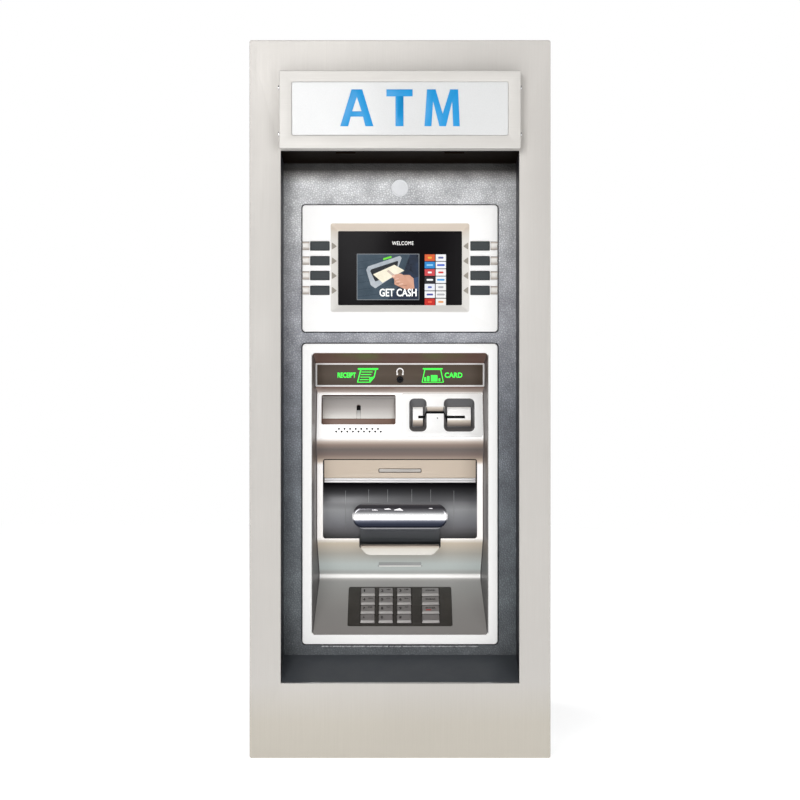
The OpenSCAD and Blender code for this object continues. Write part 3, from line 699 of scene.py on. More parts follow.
class CASH_MACHINE_OT_sign(bpy.types.Operator):
    """Sign box with a lit white panel and raised letters"""
    bl_idname = "cash_machine.sign"
    bl_label = "Sign"

    def execute(self, context):
        w, h, mid = front_size("sign_housing")
        window = rect(370.2, 91.7, 3.2, 0, SIGN_WINDOW_Z)
        face = panel("face", [rect(w, h, 2.4, 0, mid), window], SIGN, SIGN + 2.2, 1.0, 3)
        walls = []
        for side in (-1, 1):
            walls.append(panel("wall", [rect(2, h - 3, 0.3, side * (w / 2 - 1), mid)],
                               SIGN + 1.4, FRONT, 0.2))
            walls.append(panel("wall", [rect(w - 3, 2, 0.3, 0, mid + side * (h / 2 - 1))],
                               SIGN + 1.4, FRONT, 0.2))
        box = joined("sign_box", [face] + walls)
        steel = finish("Sign box steel", metal().sign_steel, 0.5, 0.25, cloud=3.0,
                       vary=0.2, grain=(9, 650, 650), bump=0.04, wear=(0.8, 0.8, 0.78))
        fitted(box, steel, stands_for=["sign_housing"])
        lens = merged("sign_panel", [
            panel("raised", [rect(369.4, 90.9, 2.8, 0, SIGN_WINDOW_Z)], SIGN + 0.9, SIGN + 2.4, 0.5, 3),
            panel("flange", [rect(386, 109, 3, 0, 1116.5)], SIGN + 2.3, SIGN + 4.5, 0.4)])
        acrylic = finish("Lit sign acrylic", (0.71, 0.715, 0.715), 0.3, cloud=5, vary=0.12,
                         rough_swing=0.04, speck=900, bump=0.01, coat=0.1, specular=0.3)
        fitted(smoothed(lens), acrylic, stands_for=["sign_lens"])
        blue = finish("Blue sign vinyl", metal().letters, 0.32, cloud=14, vary=0.2,
                      speck=1200, bump=0.03, glow=0.04, specular=0.3)
        height = metal().letter_height / MM
        for name, loops in zip("ATM", sign_letters(height)):
            shapes = [[(x, z + edge("sign_housing", 2) + 37.7) for x, z in loop] for loop in loops]
            letter = panel("sign_letter_" + name, shapes, SIGN + 0.1, SIGN + 1.1, 0.25)
            fitted(letter, blue)
        return {"FINISHED"}


class CASH_MACHINE_OT_recess(bpy.types.Operator):
    """Dark liner, embossed trim panel, camera window and gaskets"""
    bl_idname = "cash_machine.recess"
    bl_label = "Recess"

    def execute(self, context):
        low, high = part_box("recess_liner")
        front, back = low.y / MM, high.y / MM
        sill, sill_back, top, top_back = 129.0, 166.2, 1048.8, 1038.3
        ring = [(front, sill), (back, sill_back), (back, top_back), (front, top)]
        dark = finish("Satin black liner", metal().liner, 0.45, 0.0, cloud=6, vary=0.6,
                      speck=700, bump=0.10, specular=0.25)
        # The canopy's underside is painted darker and browner than the liner walls: painted shade.
        canopy_shade = finish("Canopy shade black", (0.006, 0.0035, 0.0022), 0.5, 0.0, cloud=6, vary=0.6,
                       speck=700, bump=0.10, specular=0.02)
        slope = finish("Sill paint", (0.068, 0.078, 0.092), 0.5, 0.1, cloud=7, vary=0.5,
                       speck=800, bump=0.14, dust=0.06, specular=0.3)
        sides = []
        for side in (-1, 1):
            sides.append(sweep("wall", ring, side * LINER_HALF, side * (LINER_HALF + 1.5), 0.15))
        canopy = sweep("canopy", [(front, top), (back, top_back), (back, top_back + 1.5),
                                  (front, top + 1.5)], -LINER_HALF, LINER_HALF, 0.1)
        base = sweep("sill", [(front, sill), (back, sill_back), (back, sill_back - 1.5),
                              (front, sill - 1.5)], -LINER_HALF, LINER_HALF, 0.1)
        rolled = sweep("rolled_edge", filleted([(front - 0.5, sill - 1.2, 0.4),
                       (front + 3.6, sill + 0.3, 0.6), (front + 3.6, sill + 1.7, 0.6),
                       (front - 0.5, sill + 0.3, 0.5)]), 1 - LINER_HALF, LINER_HALF - 1, 0.1)
        slots = [panel("slot", [rect(34, 3.2, 1.2, side * 94, 1046.2)], front + 6, front + 12, 0.2)
                 for side in (-1, 1)]
        liner = merged("recess_sheets", [painted(o, dark) for o in sides]
                       + [painted(o, canopy_shade) for o in [canopy] + slots]
                       + [painted(base, slope), painted(rolled, finish(
                           "Sill edge steel", (0.6, 0.6, 0.6), 0.3, 0.8, cloud=12,
                           grain=(6, 800, 800), bump=0.05))])
        fitted(smoothed(liner), stands_for=["recess_liner"])

        w, h, mid = front_size("trim_panel")
        trim = panel("trim_sheet", [rect(w, h, 1, 0, mid), rect(336, 214.2, 3, 0, 851.8),
                                    rect(336, 522.6, 3, 0, FASCIA_Z), disc(13.5, 0, CAMERA_Z)],
                     TRIM, TRIM + 3, 0.25)
        # The bands paint light and shade: a painted sheen that is brightest below the canopy and fades
        # downwards, and the canopy's painted shadow along the top edge.
        leather_and_painted_light = finish("Embossed trim panel", None, 0.38, 0.2, cloud=24,
                         shade=(0.62, 0.62, 0.63), vary=1.0, rough_swing=0.14, pebble=260,
                         bump=0.8, wear=(0.5, 0.5, 0.5), bands=[
                             (150, (0.080, 0.092, 0.100)), (190, (0.120, 0.135, 0.147)),
                             (263, (0.175, 0.20, 0.215)), (441, (0.20, 0.225, 0.25)),
                             (618, (0.28, 0.30, 0.335)), (796, (0.60, 0.61, 0.65)),
                             (930, (0.82, 0.83, 0.84)), (1002, (0.84, 0.85, 0.855)),
                             (1016, (0.38, 0.37, 0.36)), (1027, (0.02, 0.016, 0.013)),
                             (1034, (0.006, 0.005, 0.004))])
        fitted(trim, leather_and_painted_light, stands_for=["trim_panel"])

        ring = turned("window", [(15.5, 1), (15.5, -1.7), (14.9, -2.4), (13.6, -2.5),
                                 (12.9, -2.1), (12.2, -2.1), (0.01, -2.35)],
                      (0, TRIM, CAMERA_Z), capped=False)
        # A slight glow paints light into the pale window.
        pale = finish("Camera window", (0.66, 0.67, 0.69), 0.3, cloud=40, vary=0.2, speck=900,
                      bump=0.02, glow=0.06)
        block = panel("block", [rect(38, 30, 3, 0, CAMERA_Z)], TRIM + 6, TRIM + 38, 1)
        tube = turned("tube", [(12.9, 0), (12.9, 7)], (0, TRIM, CAMERA_Z))
        body = finish("Camera housing", (0.05, 0.05, 0.055), 0.5, cloud=30, speck=900, bump=0.05)
        made = [painted(ring, pale), painted(block, body), painted(tube, body)]
        fitted(joined("camera_window", made),
               stands_for=["camera"])
        _, bezel_tall, bezel_mid = front_size("screen_bezel")
        # The black gaskets stand partly for real gaskets and partly for the shadow gap round each
        # bezel: painted shade.
        for name, mid, h, r in (("screen_gasket", bezel_mid, bezel_tall, 6.2),
                                ("fascia_gasket", FASCIA_Z, FASCIA_TALL, 7.2)):
            gasket = panel(name, [rect(349.6, h + 3.6, r, 0, mid), rect(340, h - 6, 5, 0, mid)],
                           TRIM - 1.6, TRIM, 0.5)
            fitted(gasket, rubber())
        strip = panel("drain_strip", [rect(278, 2.4, 0.5, 0, 181.3)], TRIM - 2.6, TRIM, 0.5)
        fitted(strip, finish("Speckled drain strip", (0.55, 0.56, 0.58), 0.5, 0.3,
                             cloud=300, vary=1.0, other=(0.06, 0.06, 0.07), speck=900, bump=0.3))
        return {"FINISHED"}


# ---- screen and soft keys ----

GLASS_Z = 852.9
GLASS = (220.4, 131.7)
GLASS_Y = FACE + 11.9                 # depth of the glass
SOFT_Z = [891.6 - 26.25 * i for i in range(4)]
SOFT_X = 142.0


def bezel_white():
    # A slight glow paints extra light onto the white plastic.
    return finish("White bezel plastic", fascia().bezel, 0.42, cloud=6, vary=0.10,
                  rough_swing=0.05, speck=1100, bump=0.035, specular=0.4, glow=0.07)


class CASH_MACHINE_OT_screen(bpy.types.Operator):
    """Upper bezel with its sloping screen frame, the glass and what it shows"""
    bl_idname = "cash_machine.screen"
    bl_label = "Screen"

    def execute(self, context):
        w, h, mid = front_size("screen_bezel")
        wide, tall, slope, sink = *GLASS, 12.4, 12.0
        loops = [rect(w, h, 5.5, 0, mid), rect(wide + 2 * slope, tall + 2 * slope, 3.5, 0, GLASS_Z)]
        for side in (-1, 1):
            loops += [rect(34.6, 16.6, 1.2, side * SOFT_X, z) for z in SOFT_Z]
        plate = panel("plate", loops, FACE, TRIM, 0.9, 3)
        scoops = [turned("scoop", [(9, -9), (9, 9)], (side * 169.4, FACE - 4.3, z), "X", 40)
                  for side in (-1, 1) for z in SOFT_Z]
        cut(plate, scoops)
        troughs = [self.trough(side, z) for side in (-1, 1) for z in SOFT_Z]
        rings = []
        for inset, y, r in ((-0.9, FACE + 0.5, 4.0), (-0.2, FACE + 0.12, 3.6),
                            (0.9, FACE + 0.5, 3.2), (slope - 0.4, FACE + sink - 0.2, 2.2),
                            (slope, FACE + sink, 2.2), (slope, FACE + sink + 0.5, 2.2),
                            (-2.0, FACE + sink + 0.5, 4.0), (-2.0, FACE + 2.0, 4.0)):
            grow = 2 * (slope - inset)
            rings.append(ring_at(y, wide + grow, tall + grow, r, 0, GLASS_Z))
        slopes = from_rings("slopes", rings + [rings[0]], capped=False)
        # The bands paint shade on the frame's upper slope: darker and browner towards the top.
        warm_shade = finish("Screen frame plastic", None, 0.42, cloud=6, vary=0.15,
                      speck=1100, bump=0.035, specular=0.4, bands=[
                          (770, (0.84, 0.82, 0.79)), (900, (0.84, 0.81, 0.76)),
                          (917, (0.74, 0.68, 0.60)), (922, (0.68, 0.59, 0.50)),
                          (935, (0.70, 0.61, 0.52))])
        bezel = merged("screen_surround", [painted(plate, bezel_white()), painted(slopes, warm_shade)]
                       + troughs)
        fitted(smoothed(bezel, 28), stands_for=["screen_bezel"])
        self.pointers()
        self.glass()
        self.picture()
        return {"FINISHED"}

    def trough(self, side, z):
        """The round-bottomed finger scoop between a soft key and the bezel's edge."""
        # The bands paint the scoop's light and shade: a painted highlight along its middle and painted
        # shade towards its upper and lower edges.
        bands = []
        for centre in reversed(SOFT_Z):
            bands += [(centre - 7.6, (0.16, 0.13, 0.12)), (centre - 6.2, (0.62, 0.55, 0.49)),
                      (centre - 1.5, (0.90, 0.87, 0.83)), (centre + 3.5, (0.93, 0.91, 0.88)),
                      (centre + 6.2, (0.60, 0.52, 0.46)), (centre + 7.6, (0.14, 0.11, 0.10))]
        shaded_cream = finish("Finger scoop plastic", None, 0.3, cloud=30, vary=0.1,
                       speck=1100, bump=0.02, bands=bands)
        curve = [(FACE - 4.3 + 8.7 * math.sin(math.radians(a)), z + 8.7 * math.cos(math.radians(a)))
                 for a in range(31, 150, 7)]
        back = [(y + 0.9, pz) for y, pz in curve[::-1]]
        inner, outer = side * 160.6, side * 172.9
        return painted(sweep("trough", curve + back, min(inner, outer), max(inner, outer), 0.15),
                       shaded_cream)

    def pointers(self):
        """Pale pointers on the sloping frame, one beside each soft key."""
        tint = finish("Pointer paint", (0.42, 0.385, 0.33), 0.5, cloud=30, vary=0.3, speck=1300,
                      bump=0.04)
        for side, label in ((-1, "left"), (1, "right")):
            made = []
            for z in SOFT_Z:
                shape = filleted([(121.0, z + 6.6, 0.8), (121.0, z - 6.6, 0.8),
                                  (112.2, z, 1.0)])
                low = []
                high = []
                for x, pz in shape:
                    y = FACE + 12.0 * (122.6 - x) / 12.4
                    low.append((side * x, y + 0.4, pz))
                    high.append((side * x, y - 0.45, pz))
                made.append(from_rings("pointer", [low, high]))
            fitted(painted(joined("pointers_" + label, made), tint))

    def glass(self):
        glass = panel("screen_glass", [rect(GLASS[0] - 0.2, GLASS[1] - 0.2, 2.4, 0, GLASS_Z)],
                      GLASS_Y, GLASS_Y + 0.55, 0.15)
        black = finish("Display glass", (0.0065, 0.0055, 0.0065), 0.2, cloud=9, vary=0.6,
                       rough_swing=0.07, speck=500, bump=0.003, specular=0.03)
        fitted(glass, black)
        painted(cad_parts["display"], finish("Display housing", (0.03, 0.03, 0.033), 0.5,
                                                  cloud=20, speck=900, bump=0.08))

    def picture(self):
        """The welcome picture: flat lit layers, set a little in front of one another."""
        def lit(name, colour, glow=0.34, other=None, vary=0.4, cloud=60, dim=0.8):
            colour = tuple(dim * c for c in colour)
            other = other and tuple(dim * c for c in other)
            return finish("Screen " + name, colour, 0.3, cloud=cloud, vary=vary, other=other,
                          speck=700, bump=0.0, glow=glow, specular=0.2)

        def layer(name, outline, depth, material):
            loops = outline if isinstance(outline[0], list) else [outline]
            shapes = [[(x, z + GLASS_Z) for x, z in loop] for loop in loops]
            piece = panel("screen_" + name, shapes, GLASS_Y - depth, GLASS_Y - depth + 0.1, 0)
            return fitted(piece, material)

        white = lit("white", (0.90, 0.90, 0.88), 0.5, dim=1.0)
        printed("screen_welcome", "WELCOME", (4.9, GLASS_Y - 0.45, GLASS_Z + 44.4), white,
                "display_black", 6.6, 38.0, 0.1, 0.0, 1.12)
        left, right, low, high = -76.8, 34.2, -56.6, 25.6
        mid = ((left + right) / 2, (low + high) / 2)
        size = (right - left, high - low)
        layer("border", [rect(*size, 0.6, *mid), rect(size[0] - 2, size[1] - 2, 0.4, *mid)], 0.3,
              lit("border", (0.26, 0.28, 0.30), 0.3))
        layer("night", rect(size[0] - 2, size[1] - 2, 0.4, *mid), 0.12,
              lit("night", (0.008, 0.012, 0.022), 0.5, (0.02, 0.05, 0.12)))
        wall = lit("wall", (0.021, 0.042, 0.063), 0.4, (0.055, 0.085, 0.115), 0.9, 30)
        layer("wall", [(left + 1, low + 1), (-22, low + 1), (-4, -34), (18, high - 1),
                       (left + 1, high - 1)], 0.16, wall)
        for n in range(6):
            z = high - 11 - 12.2 * n
            layer("seam_%d" % n, [(left + 1, z - 4.5), (-30 + 3 * n, z + 3.2),
                                  (-30 + 3 * n, z + 3.7), (left + 1, z - 3.9)], 0.2,
                  lit("seam", (0.015, 0.03, 0.05), 0.4))
        steel = lit("steel", (0.30, 0.34, 0.38), 0.55, (0.5, 0.52, 0.55), 0.6)
        layer("mouth_rim", filleted([(-60, -3, 2), (-57, 3, 2), (0, 22, 2), (3, 18, 1.5),
                                     (-8, -12, 2), (-44, -36, 2), (-52, -30, 2)]), 0.22, steel)
        layer("mouth", filleted([(-53, -5, 1.5), (-51, -2, 1.5), (-3, 13.5, 1.5),
                                 (-6, -8, 2), (-44, -24, 2)]), 0.26,
              lit("shadow", (0.012, 0.015, 0.02), 0.3))
        layer("note", filleted([(-48, -11, 0.8), (-10, 6, 0.8), (8, -4, 0.8), (-31, -26, 0.8)]),
              0.3, lit("note", (0.72, 0.67, 0.52), 0.55, (0.85, 0.8, 0.68), 0.7))
        layer("note_stripe", [(-24, -5), (-20, -3.4), (-6, -14.8), (-10, -16.6)], 0.33,
              lit("note stripe", (0.52, 0.42, 0.36), 0.5))
        layer("light", filleted([(-30, 14, 1), (-15, 18.5, 1), (-15, 22, 1), (-30, 17.5, 1)]), 0.3,
              lit("green light", (0.12, 0.55, 0.03), 0.8))
        skin = lit("hand", (0.56, 0.27, 0.18), 0.34, (0.72, 0.42, 0.30), 0.8, 45)
        fold = lit("hand fold", (0.30, 0.11, 0.07), 0.3)
        shine = lit("hand shine", (0.86, 0.62, 0.50), 0.34)
        layer("hand", filleted([(-10, -18, 3), (2, -19, 4), (6, -12, 4), (17, -12, 5),
                                (26, -20, 6), (29, -36, 3), (10, -38, 5), (-1, -33, 4),
                                (-10, -29, 3)]), 0.36, skin)
        for n, (x, z) in enumerate(((-10, -20.5), (-7.5, -25), (-2.5, -29.5))):
            layer("finger_%d" % n, filleted([(x - 1.5, z + 2.2, 2), (x + 13, z + 4.5, 2),
                                             (x + 15, z - 0.5, 2), (x + 1, z - 2.6, 2)]),
                  0.40 + 0.03 * n, skin)
            layer("finger_fold_%d" % n, filleted([(x + 1, z - 2.5, 0.2), (x + 15, z - 0.4, 0.2),
                                                  (x + 15, z - 1.0, 0.2), (x + 1, z - 3.2, 0.2)]),
                  0.42 + 0.03 * n, fold)
            layer("finger_shine_%d" % n, filleted([(x + 1, z + 1.3, 0.4), (x + 8, z + 2.4, 0.4),
                                                   (x + 8, z + 1.4, 0.4), (x + 1, z + 0.4, 0.4)]),
                  0.43 + 0.03 * n, shine)
        layer("thumb", filleted([(-16, -12.6, 2.2), (1, -9.5, 3), (9, -13.5, 3), (6, -17.5, 2),
                                 (-12, -18.4, 2.2)]), 0.5, lit("thumb", (0.66, 0.36, 0.26), 0.34))
        layer("thumb_nail", filleted([(-15, -13.6, 1), (-9.5, -12.6, 1), (-9.2, -15, 1),
                                      (-13.8, -16.2, 1)]), 0.53, shine)
        layer("cuff", filleted([(24, -18, 2), (33, -15, 1), (33, -40, 1), (26, -40, 3)]), 0.38,
              lit("cuff", (0.03, 0.06, 0.13), 0.4))
        printed("screen_get_cash", "GET CASH", (-3.5, GLASS_Y - 0.5, GLASS_Z - 43.4), white,
                "display_black", 13.8, 66.0, 0.1, 0.02)
        tints = [(0.62, 0.10, 0.03), (0.80, 0.80, 0.82), (0.02, 0.22, 0.55), (0.78, 0.80, 0.84),
                 (0.55, 0.06, 0.07), (0.80, 0.78, 0.78), (0.015, 0.015, 0.02), (0.76, 0.78, 0.80),
                 (0.70, 0.72, 0.78), (0.78, 0.78, 0.78), (0.78, 0.78, 0.80), (0.76, 0.76, 0.76),
                 (0.50, 0.02, 0.015), (0.78, 0.76, 0.74)]
        marks = [(0.75, 0.42, 0.05), (0.10, 0.12, 0.30), (0.25, 0.55, 0.80), (0.04, 0.10, 0.50),
                 (0.80, 0.80, 0.80), (0.60, 0.05, 0.04), (0.80, 0.80, 0.80), (0.04, 0.30, 0.65),
                 (0.08, 0.12, 0.40), (0.35, 0.36, 0.40), (0.05, 0.06, 0.30), (0.40, 0.40, 0.42),
                 (0.75, 0.10, 0.05), (0.70, 0.30, 0.10)]
        for n, (tint, mark) in enumerate(zip(tints, marks)):
            x = 53.0 + 19.6 * (n % 2)
            z = 18.6 - 13.1 * (n // 2)
            layer("tile_%d" % n, rect(18.2, 11.8, 0.7, x, z), 0.2, lit("tile %d" % n, tint, 0.5))
            width = 7 + 2.2 * (n * 5 % 4)
            layer("tile_mark_%d" % n, rect(width, 3.2, 1.2, x, z), 0.26,
                  lit("tile mark %d" % n, mark, 0.5))


class CASH_MACHINE_OT_soft_keys(bpy.types.Operator):
    """Eight soft keys, four on each side of the screen"""
    bl_idname = "cash_machine.soft_keys"
    bl_label = "Soft keys"

    def execute(self, context):
        grey = finish("Soft key rubber", (0.058, 0.066, 0.070), 0.5, cloud=40, vary=0.4,
                      speck=1500, bump=0.08, specular=0.15)
        for side, label in ((-1, "left"), (1, "right")):
            for n, z in enumerate(SOFT_Z):
                name = "soft_key_%s_%d" % (label, n + 1)
                rings = []
                for inset, y in ((0, 7.5), (0, 1.1), (0.15, -0.2), (0.6, -1.1), (1.3, -1.6),
                                 (2.4, -1.75), (4.5, -1.6)):
                    rings.append(ring_at(FACE + y, 33.8 - 2 * inset, 15.9 - 2 * inset,
                                         max(0.5, 1.4 - inset / 8), side * SOFT_X, z, 4))
                cap = from_rings("cap", rings)
                flange = panel("flange", [rect(36.8, 18.9, 1, side * SOFT_X, z)], TRIM,
                               TRIM + 1.5, 0.2)
                fitted(painted(joined(name + "_cap", [cap, flange]), grey),
                       body=name + "_body", stands_for=[name])
        return {"FINISHED"}


# ---- lower fascia ----

HEAD = 60.0                           # depth of the header panel
CARD_TOP, CARD_LOW = (88.0, 634.0), (71.0, 548.0)
PLANE, OUTLET_TOP, OUTLET_LOW = 85.0, 512.0, 365.0
LEAN = math.atan((CARD_TOP[0] - CARD_LOW[0]) / (CARD_TOP[1] - CARD_LOW[1]))
ON_FACE = (Matrix.Translation((0, (FACE + (CARD_TOP[0] + CARD_LOW[0]) / 2) * MM,
                               (CARD_TOP[1] + CARD_LOW[1]) / 2 * MM))
           @ Matrix.Rotation(-LEAN, 4, "X"))
NICHE_LOW, NICHE_HIGH = 202.7, 701.3
RISE = (297 - 10 - NICHE_LOW) / 130
ON_SHELF = (Matrix.Translation((0, (FACE + 65) * MM, (NICHE_LOW + RISE * 65) * MM))
            @ Matrix.Rotation(math.atan(RISE), 4, "X"))
RECEIPT_X, CARD_X = -75.2, 76.3
POCKET_Z = 10.3                       # height of the receipt pocket on the sloping face
SPEAKER_HOLES = [(RECEIPT_X + (k - (count - 1) / 2) * 10.1, z)
                 for count, z in ((9, -30.2), (8, -25.2)) for k in range(count)]


def half_width(e):
    """The niche's half width at depth e behind the bezels' face."""
    return 156 - 0.05 * e


def niche_rings():
    """The niche's walls: its outline from the shelf to the ceiling, rounded at both sides."""
    outline = filleted([(0, NICHE_LOW, 0), (138.75, 292.6, 13), (PLANE, OUTLET_LOW, 6),
                        (PLANE, OUTLET_TOP, 8), (*CARD_LOW, 16), (*CARD_TOP, 3.6),
                        (HEAD, 641, 2.6), (HEAD, 686.5, 5), (0, NICHE_HIGH, 0)], closed=False)
    dense = [outline[0]]
    for a, b in zip(outline, outline[1:]):
        n = max(1, round(math.dist(a, b) / 24))
        dense += [(a[0] + (b[0] - a[0]) * k / n, a[1] + (b[1] - a[1]) * k / n)
                  for k in range(1, n + 1)]
    rows = []
    for i, (e, z) in enumerate(dense):
        a, b = dense[max(i - 1, 0)], dense[min(i + 1, len(dense) - 1)]
        run = Vector((b[0] - a[0], b[1] - a[1])).normalized()
        inward = Vector((-run.y, run.x))
        row = []
        for k in range(6):
            t = math.radians(18 * k)
            lift = 2.4 * (1 - math.sin(t))
            pe = max(e + inward.x * lift, 0.0)
            pz = z + inward.y * lift
            row.append((half_width(pe) - 2.4 * (1 - math.cos(t)), pe, pz))
        rows.append([(-x, FACE + pe, pz) for x, pe, pz in row]
                    + [(x, FACE + pe, pz) for x, pe, pz in row[::-1]])
    return rows


class CASH_MACHINE_OT_fascia(bpy.types.Operator):
    """Lower bezel and the moulded niche with its openings"""
    bl_idname = "cash_machine.fascia"
    bl_label = "Fascia and niche"

    def execute(self, context):
        mid = (NICHE_LOW + NICHE_HIGH) / 2
        rim = panel("fascia_bezel", [rect(346, FASCIA_TALL, 6.5, 0, mid),
                                     rect(311.6, NICHE_HIGH - NICHE_LOW - 0.4, 5, 0, mid)],
                    FACE, TRIM, 1.3, 4)
        fitted(rim, bezel_white())

        rows = niche_rings()
        work = bmesh.new()
        grid = [[work.verts.new([c * MM for c in p]) for p in row] for row in rows]
        for a, b in zip(grid, grid[1:]):
            for i in range(len(a) - 1):
                wall = work.faces.new((a[i], a[i + 1], b[i + 1], b[i]))
                # The rounded corners towards the side walls take the side walls' material, with its
                # painted shade.
                wall.material_index = int(abs(i - 5) > 1)
        for column in (0, -1):
            side = work.faces.new([row[column] for row in grid])
            side.material_index = 1
        bmesh.ops.recalc_face_normals(work, faces=work.faces)
        if sum(f.normal.y * f.calc_area() for f in work.faces) > 0:
            bmesh.ops.reverse_faces(work, faces=work.faces)
        mesh = bpy.data.meshes.new("niche")
        mesh.materials.append(self.silver())
        mesh.materials.append(self.side())
        work.to_mesh(mesh)
        work.free()
        niche = linked("niche", mesh)
        shell = niche.modifiers.new("shell", "SOLIDIFY")
        shell.thickness = 2.6 * MM
        shell.offset = -1.0
        shell.use_even_offset = True
        applied(niche)
        cut(niche, self.cutters())
        fitted(smoothed(niche, 34), stands_for=["fascia_body"])

        self.speaker()
        marker = panel("note_marker", [rect(82, 10, 2, 0, MARKER_Z)], FACE + 122, FACE + 124, 0.3)
        fitted(marker, finish("Marker insert", (0.42, 0.43, 0.43), 0.4, 0.1, cloud=30, vary=0.2,
                              speck=900, bump=0.05))
        corners = [(FACE + 116.2, 313.2, 0.5), (FACE + 118.8, 313.2, 0.5),
                   (FACE + 118.8, 315.6, 0.5), (FACE + 116.2, 315.6, 0.5)]
        marker_edge = sweep("marker_edge", filleted(corners), -38.6, 38.6, 0.3)
        bright = finish("Marker edge", (0.9, 0.9, 0.88), 0.3, cloud=20, speck=900, bump=0.02)
        fitted(marker_edge, bright)
        return {"FINISHED"}

    def silver(self):
        """Satin silver that goes from grey on the shelf to beige and white higher up, with painted
        light and shade: a painted highlight along the crease, painted shade under the visor and below
        the ceiling, and a glow that adds light.
        """
        return finish("Niche silver with painted light", None, 0.42, 0.1, cloud=5, vary=0.22, rough_swing=0.08,
                      speck=1000, bump=0.03, glow=0.38, bands=[
                          (200, (0.218, 0.207, 0.199)), (240, (0.222, 0.215, 0.207)),
                          (284, (0.273, 0.269, 0.261)), (289.5, (0.33, 0.32, 0.31)),
                          (292.5, (0.80, 0.79, 0.77)), (296.5, (0.82, 0.81, 0.79)),
                          (300, (0.32, 0.325, 0.315)), (309, (0.45, 0.49, 0.475)),
                          (318, (0.47, 0.51, 0.495)), (338, (0.40, 0.385, 0.345)),
                          (358, (0.55, 0.48, 0.385)), (368, (0.96, 0.93, 0.90)),
                          (500, (0.97, 0.95, 0.93)), (507, (0.50, 0.40, 0.32)),
                          (513, (0.26, 0.20, 0.162)), (519.5, (0.145, 0.106, 0.092)),
                          (529, (0.107, 0.088, 0.080)), (537.5, (0.22, 0.165, 0.135)),
                          (543, (0.45, 0.38, 0.33)), (550, (0.94, 0.93, 0.92)),
                          (629, (0.95, 0.945, 0.935)), (634, (0.30, 0.24, 0.21)),
                          (641, (0.145, 0.080, 0.058)), (701, (0.108, 0.056, 0.042))])

    def side(self):
        # The side walls are the niche's own moulding painted darker: painted shade, varying with
        # height.
        return finish("Niche side shade", None, 0.38, 0.1, cloud=6,
                      vary=0.7, speck=1000, bump=0.04, bands=[
                          (200, (0.16, 0.15, 0.15)), (300, (0.09, 0.085, 0.09)),
                          (420, (0.15, 0.13, 0.13)), (545, (0.14, 0.12, 0.115)),
                          (640, (0.15, 0.125, 0.12)), (701, (0.10, 0.065, 0.055))])

    def cutters(self):
        def on_face(obj):
            return placed(obj, ON_FACE)

        outlet = filleted([(-140, 367, 5), (-74, 367, 0.8), (-74, 351, 3), (-62, 338.4, 3),
                           (62, 338.4, 3), (74, 351, 3), (74, 367, 0.8), (140, 367, 5),
                           (140, 511.5, 5), (-140, 511.5, 5)])
        tools = [
            panel("outlet", [outlet], FACE + 60, FACE + 125, 0),
            on_face(panel("receipt", [rect(134.7, 55, 3.4, RECEIPT_X, POCKET_Z)], -6, 20, 0)),
            on_face(panel("card", [rect(147, 80.6, 4.4, CARD_X, 0)], -6, 20, 0)),
            placed(panel("keypad", [rect(187.6, 113.4, 4.2, 0, 0)], -20, 20, 0),
                   ON_SHELF @ Matrix.Translation((0, 2.4 * MM, 0))
                   @ Matrix.Rotation(math.radians(90), 4, "X")),
            panel("marker", [rect(78, 7, 1.6, 0, MARKER_Z)], FACE + 60, FACE + 140, 0),
            turned("jack", [(6.2, -14), (6.2, 14)], (0, FACE + HEAD, JACK_Z), "Y", 32),
        ]
        holes = [turned("hole", [(1.9, -6), (1.9, 8)], (x, 0, z), "Y", 14)
                 for x, z in SPEAKER_HOLES]
        tools.append(on_face(merged("speaker_holes", holes)))
        return tools

    def speaker(self):
        """The black cloth behind the speaker's holes."""
        cloth = [panel("cloth", [rect(96, 13, 2, RECEIPT_X, -27.6)], 2.0, 4.2, 0.3)]
        for x, z in SPEAKER_HOLES:
            cloth.append(turned("dimple", [(1.88, 0.25), (1.88, 2.6)], (x, 0, z), "Y", 14))
        cloth = merged("speaker_cloth", cloth)
        fitted(placed(cloth, ON_FACE), finish("Speaker cloth", (0.003, 0.003, 0.003), 0.8,
                                              cloud=60, grain=(1800, 1800, 1800), bump=0.2,
                                              specular=0.1))


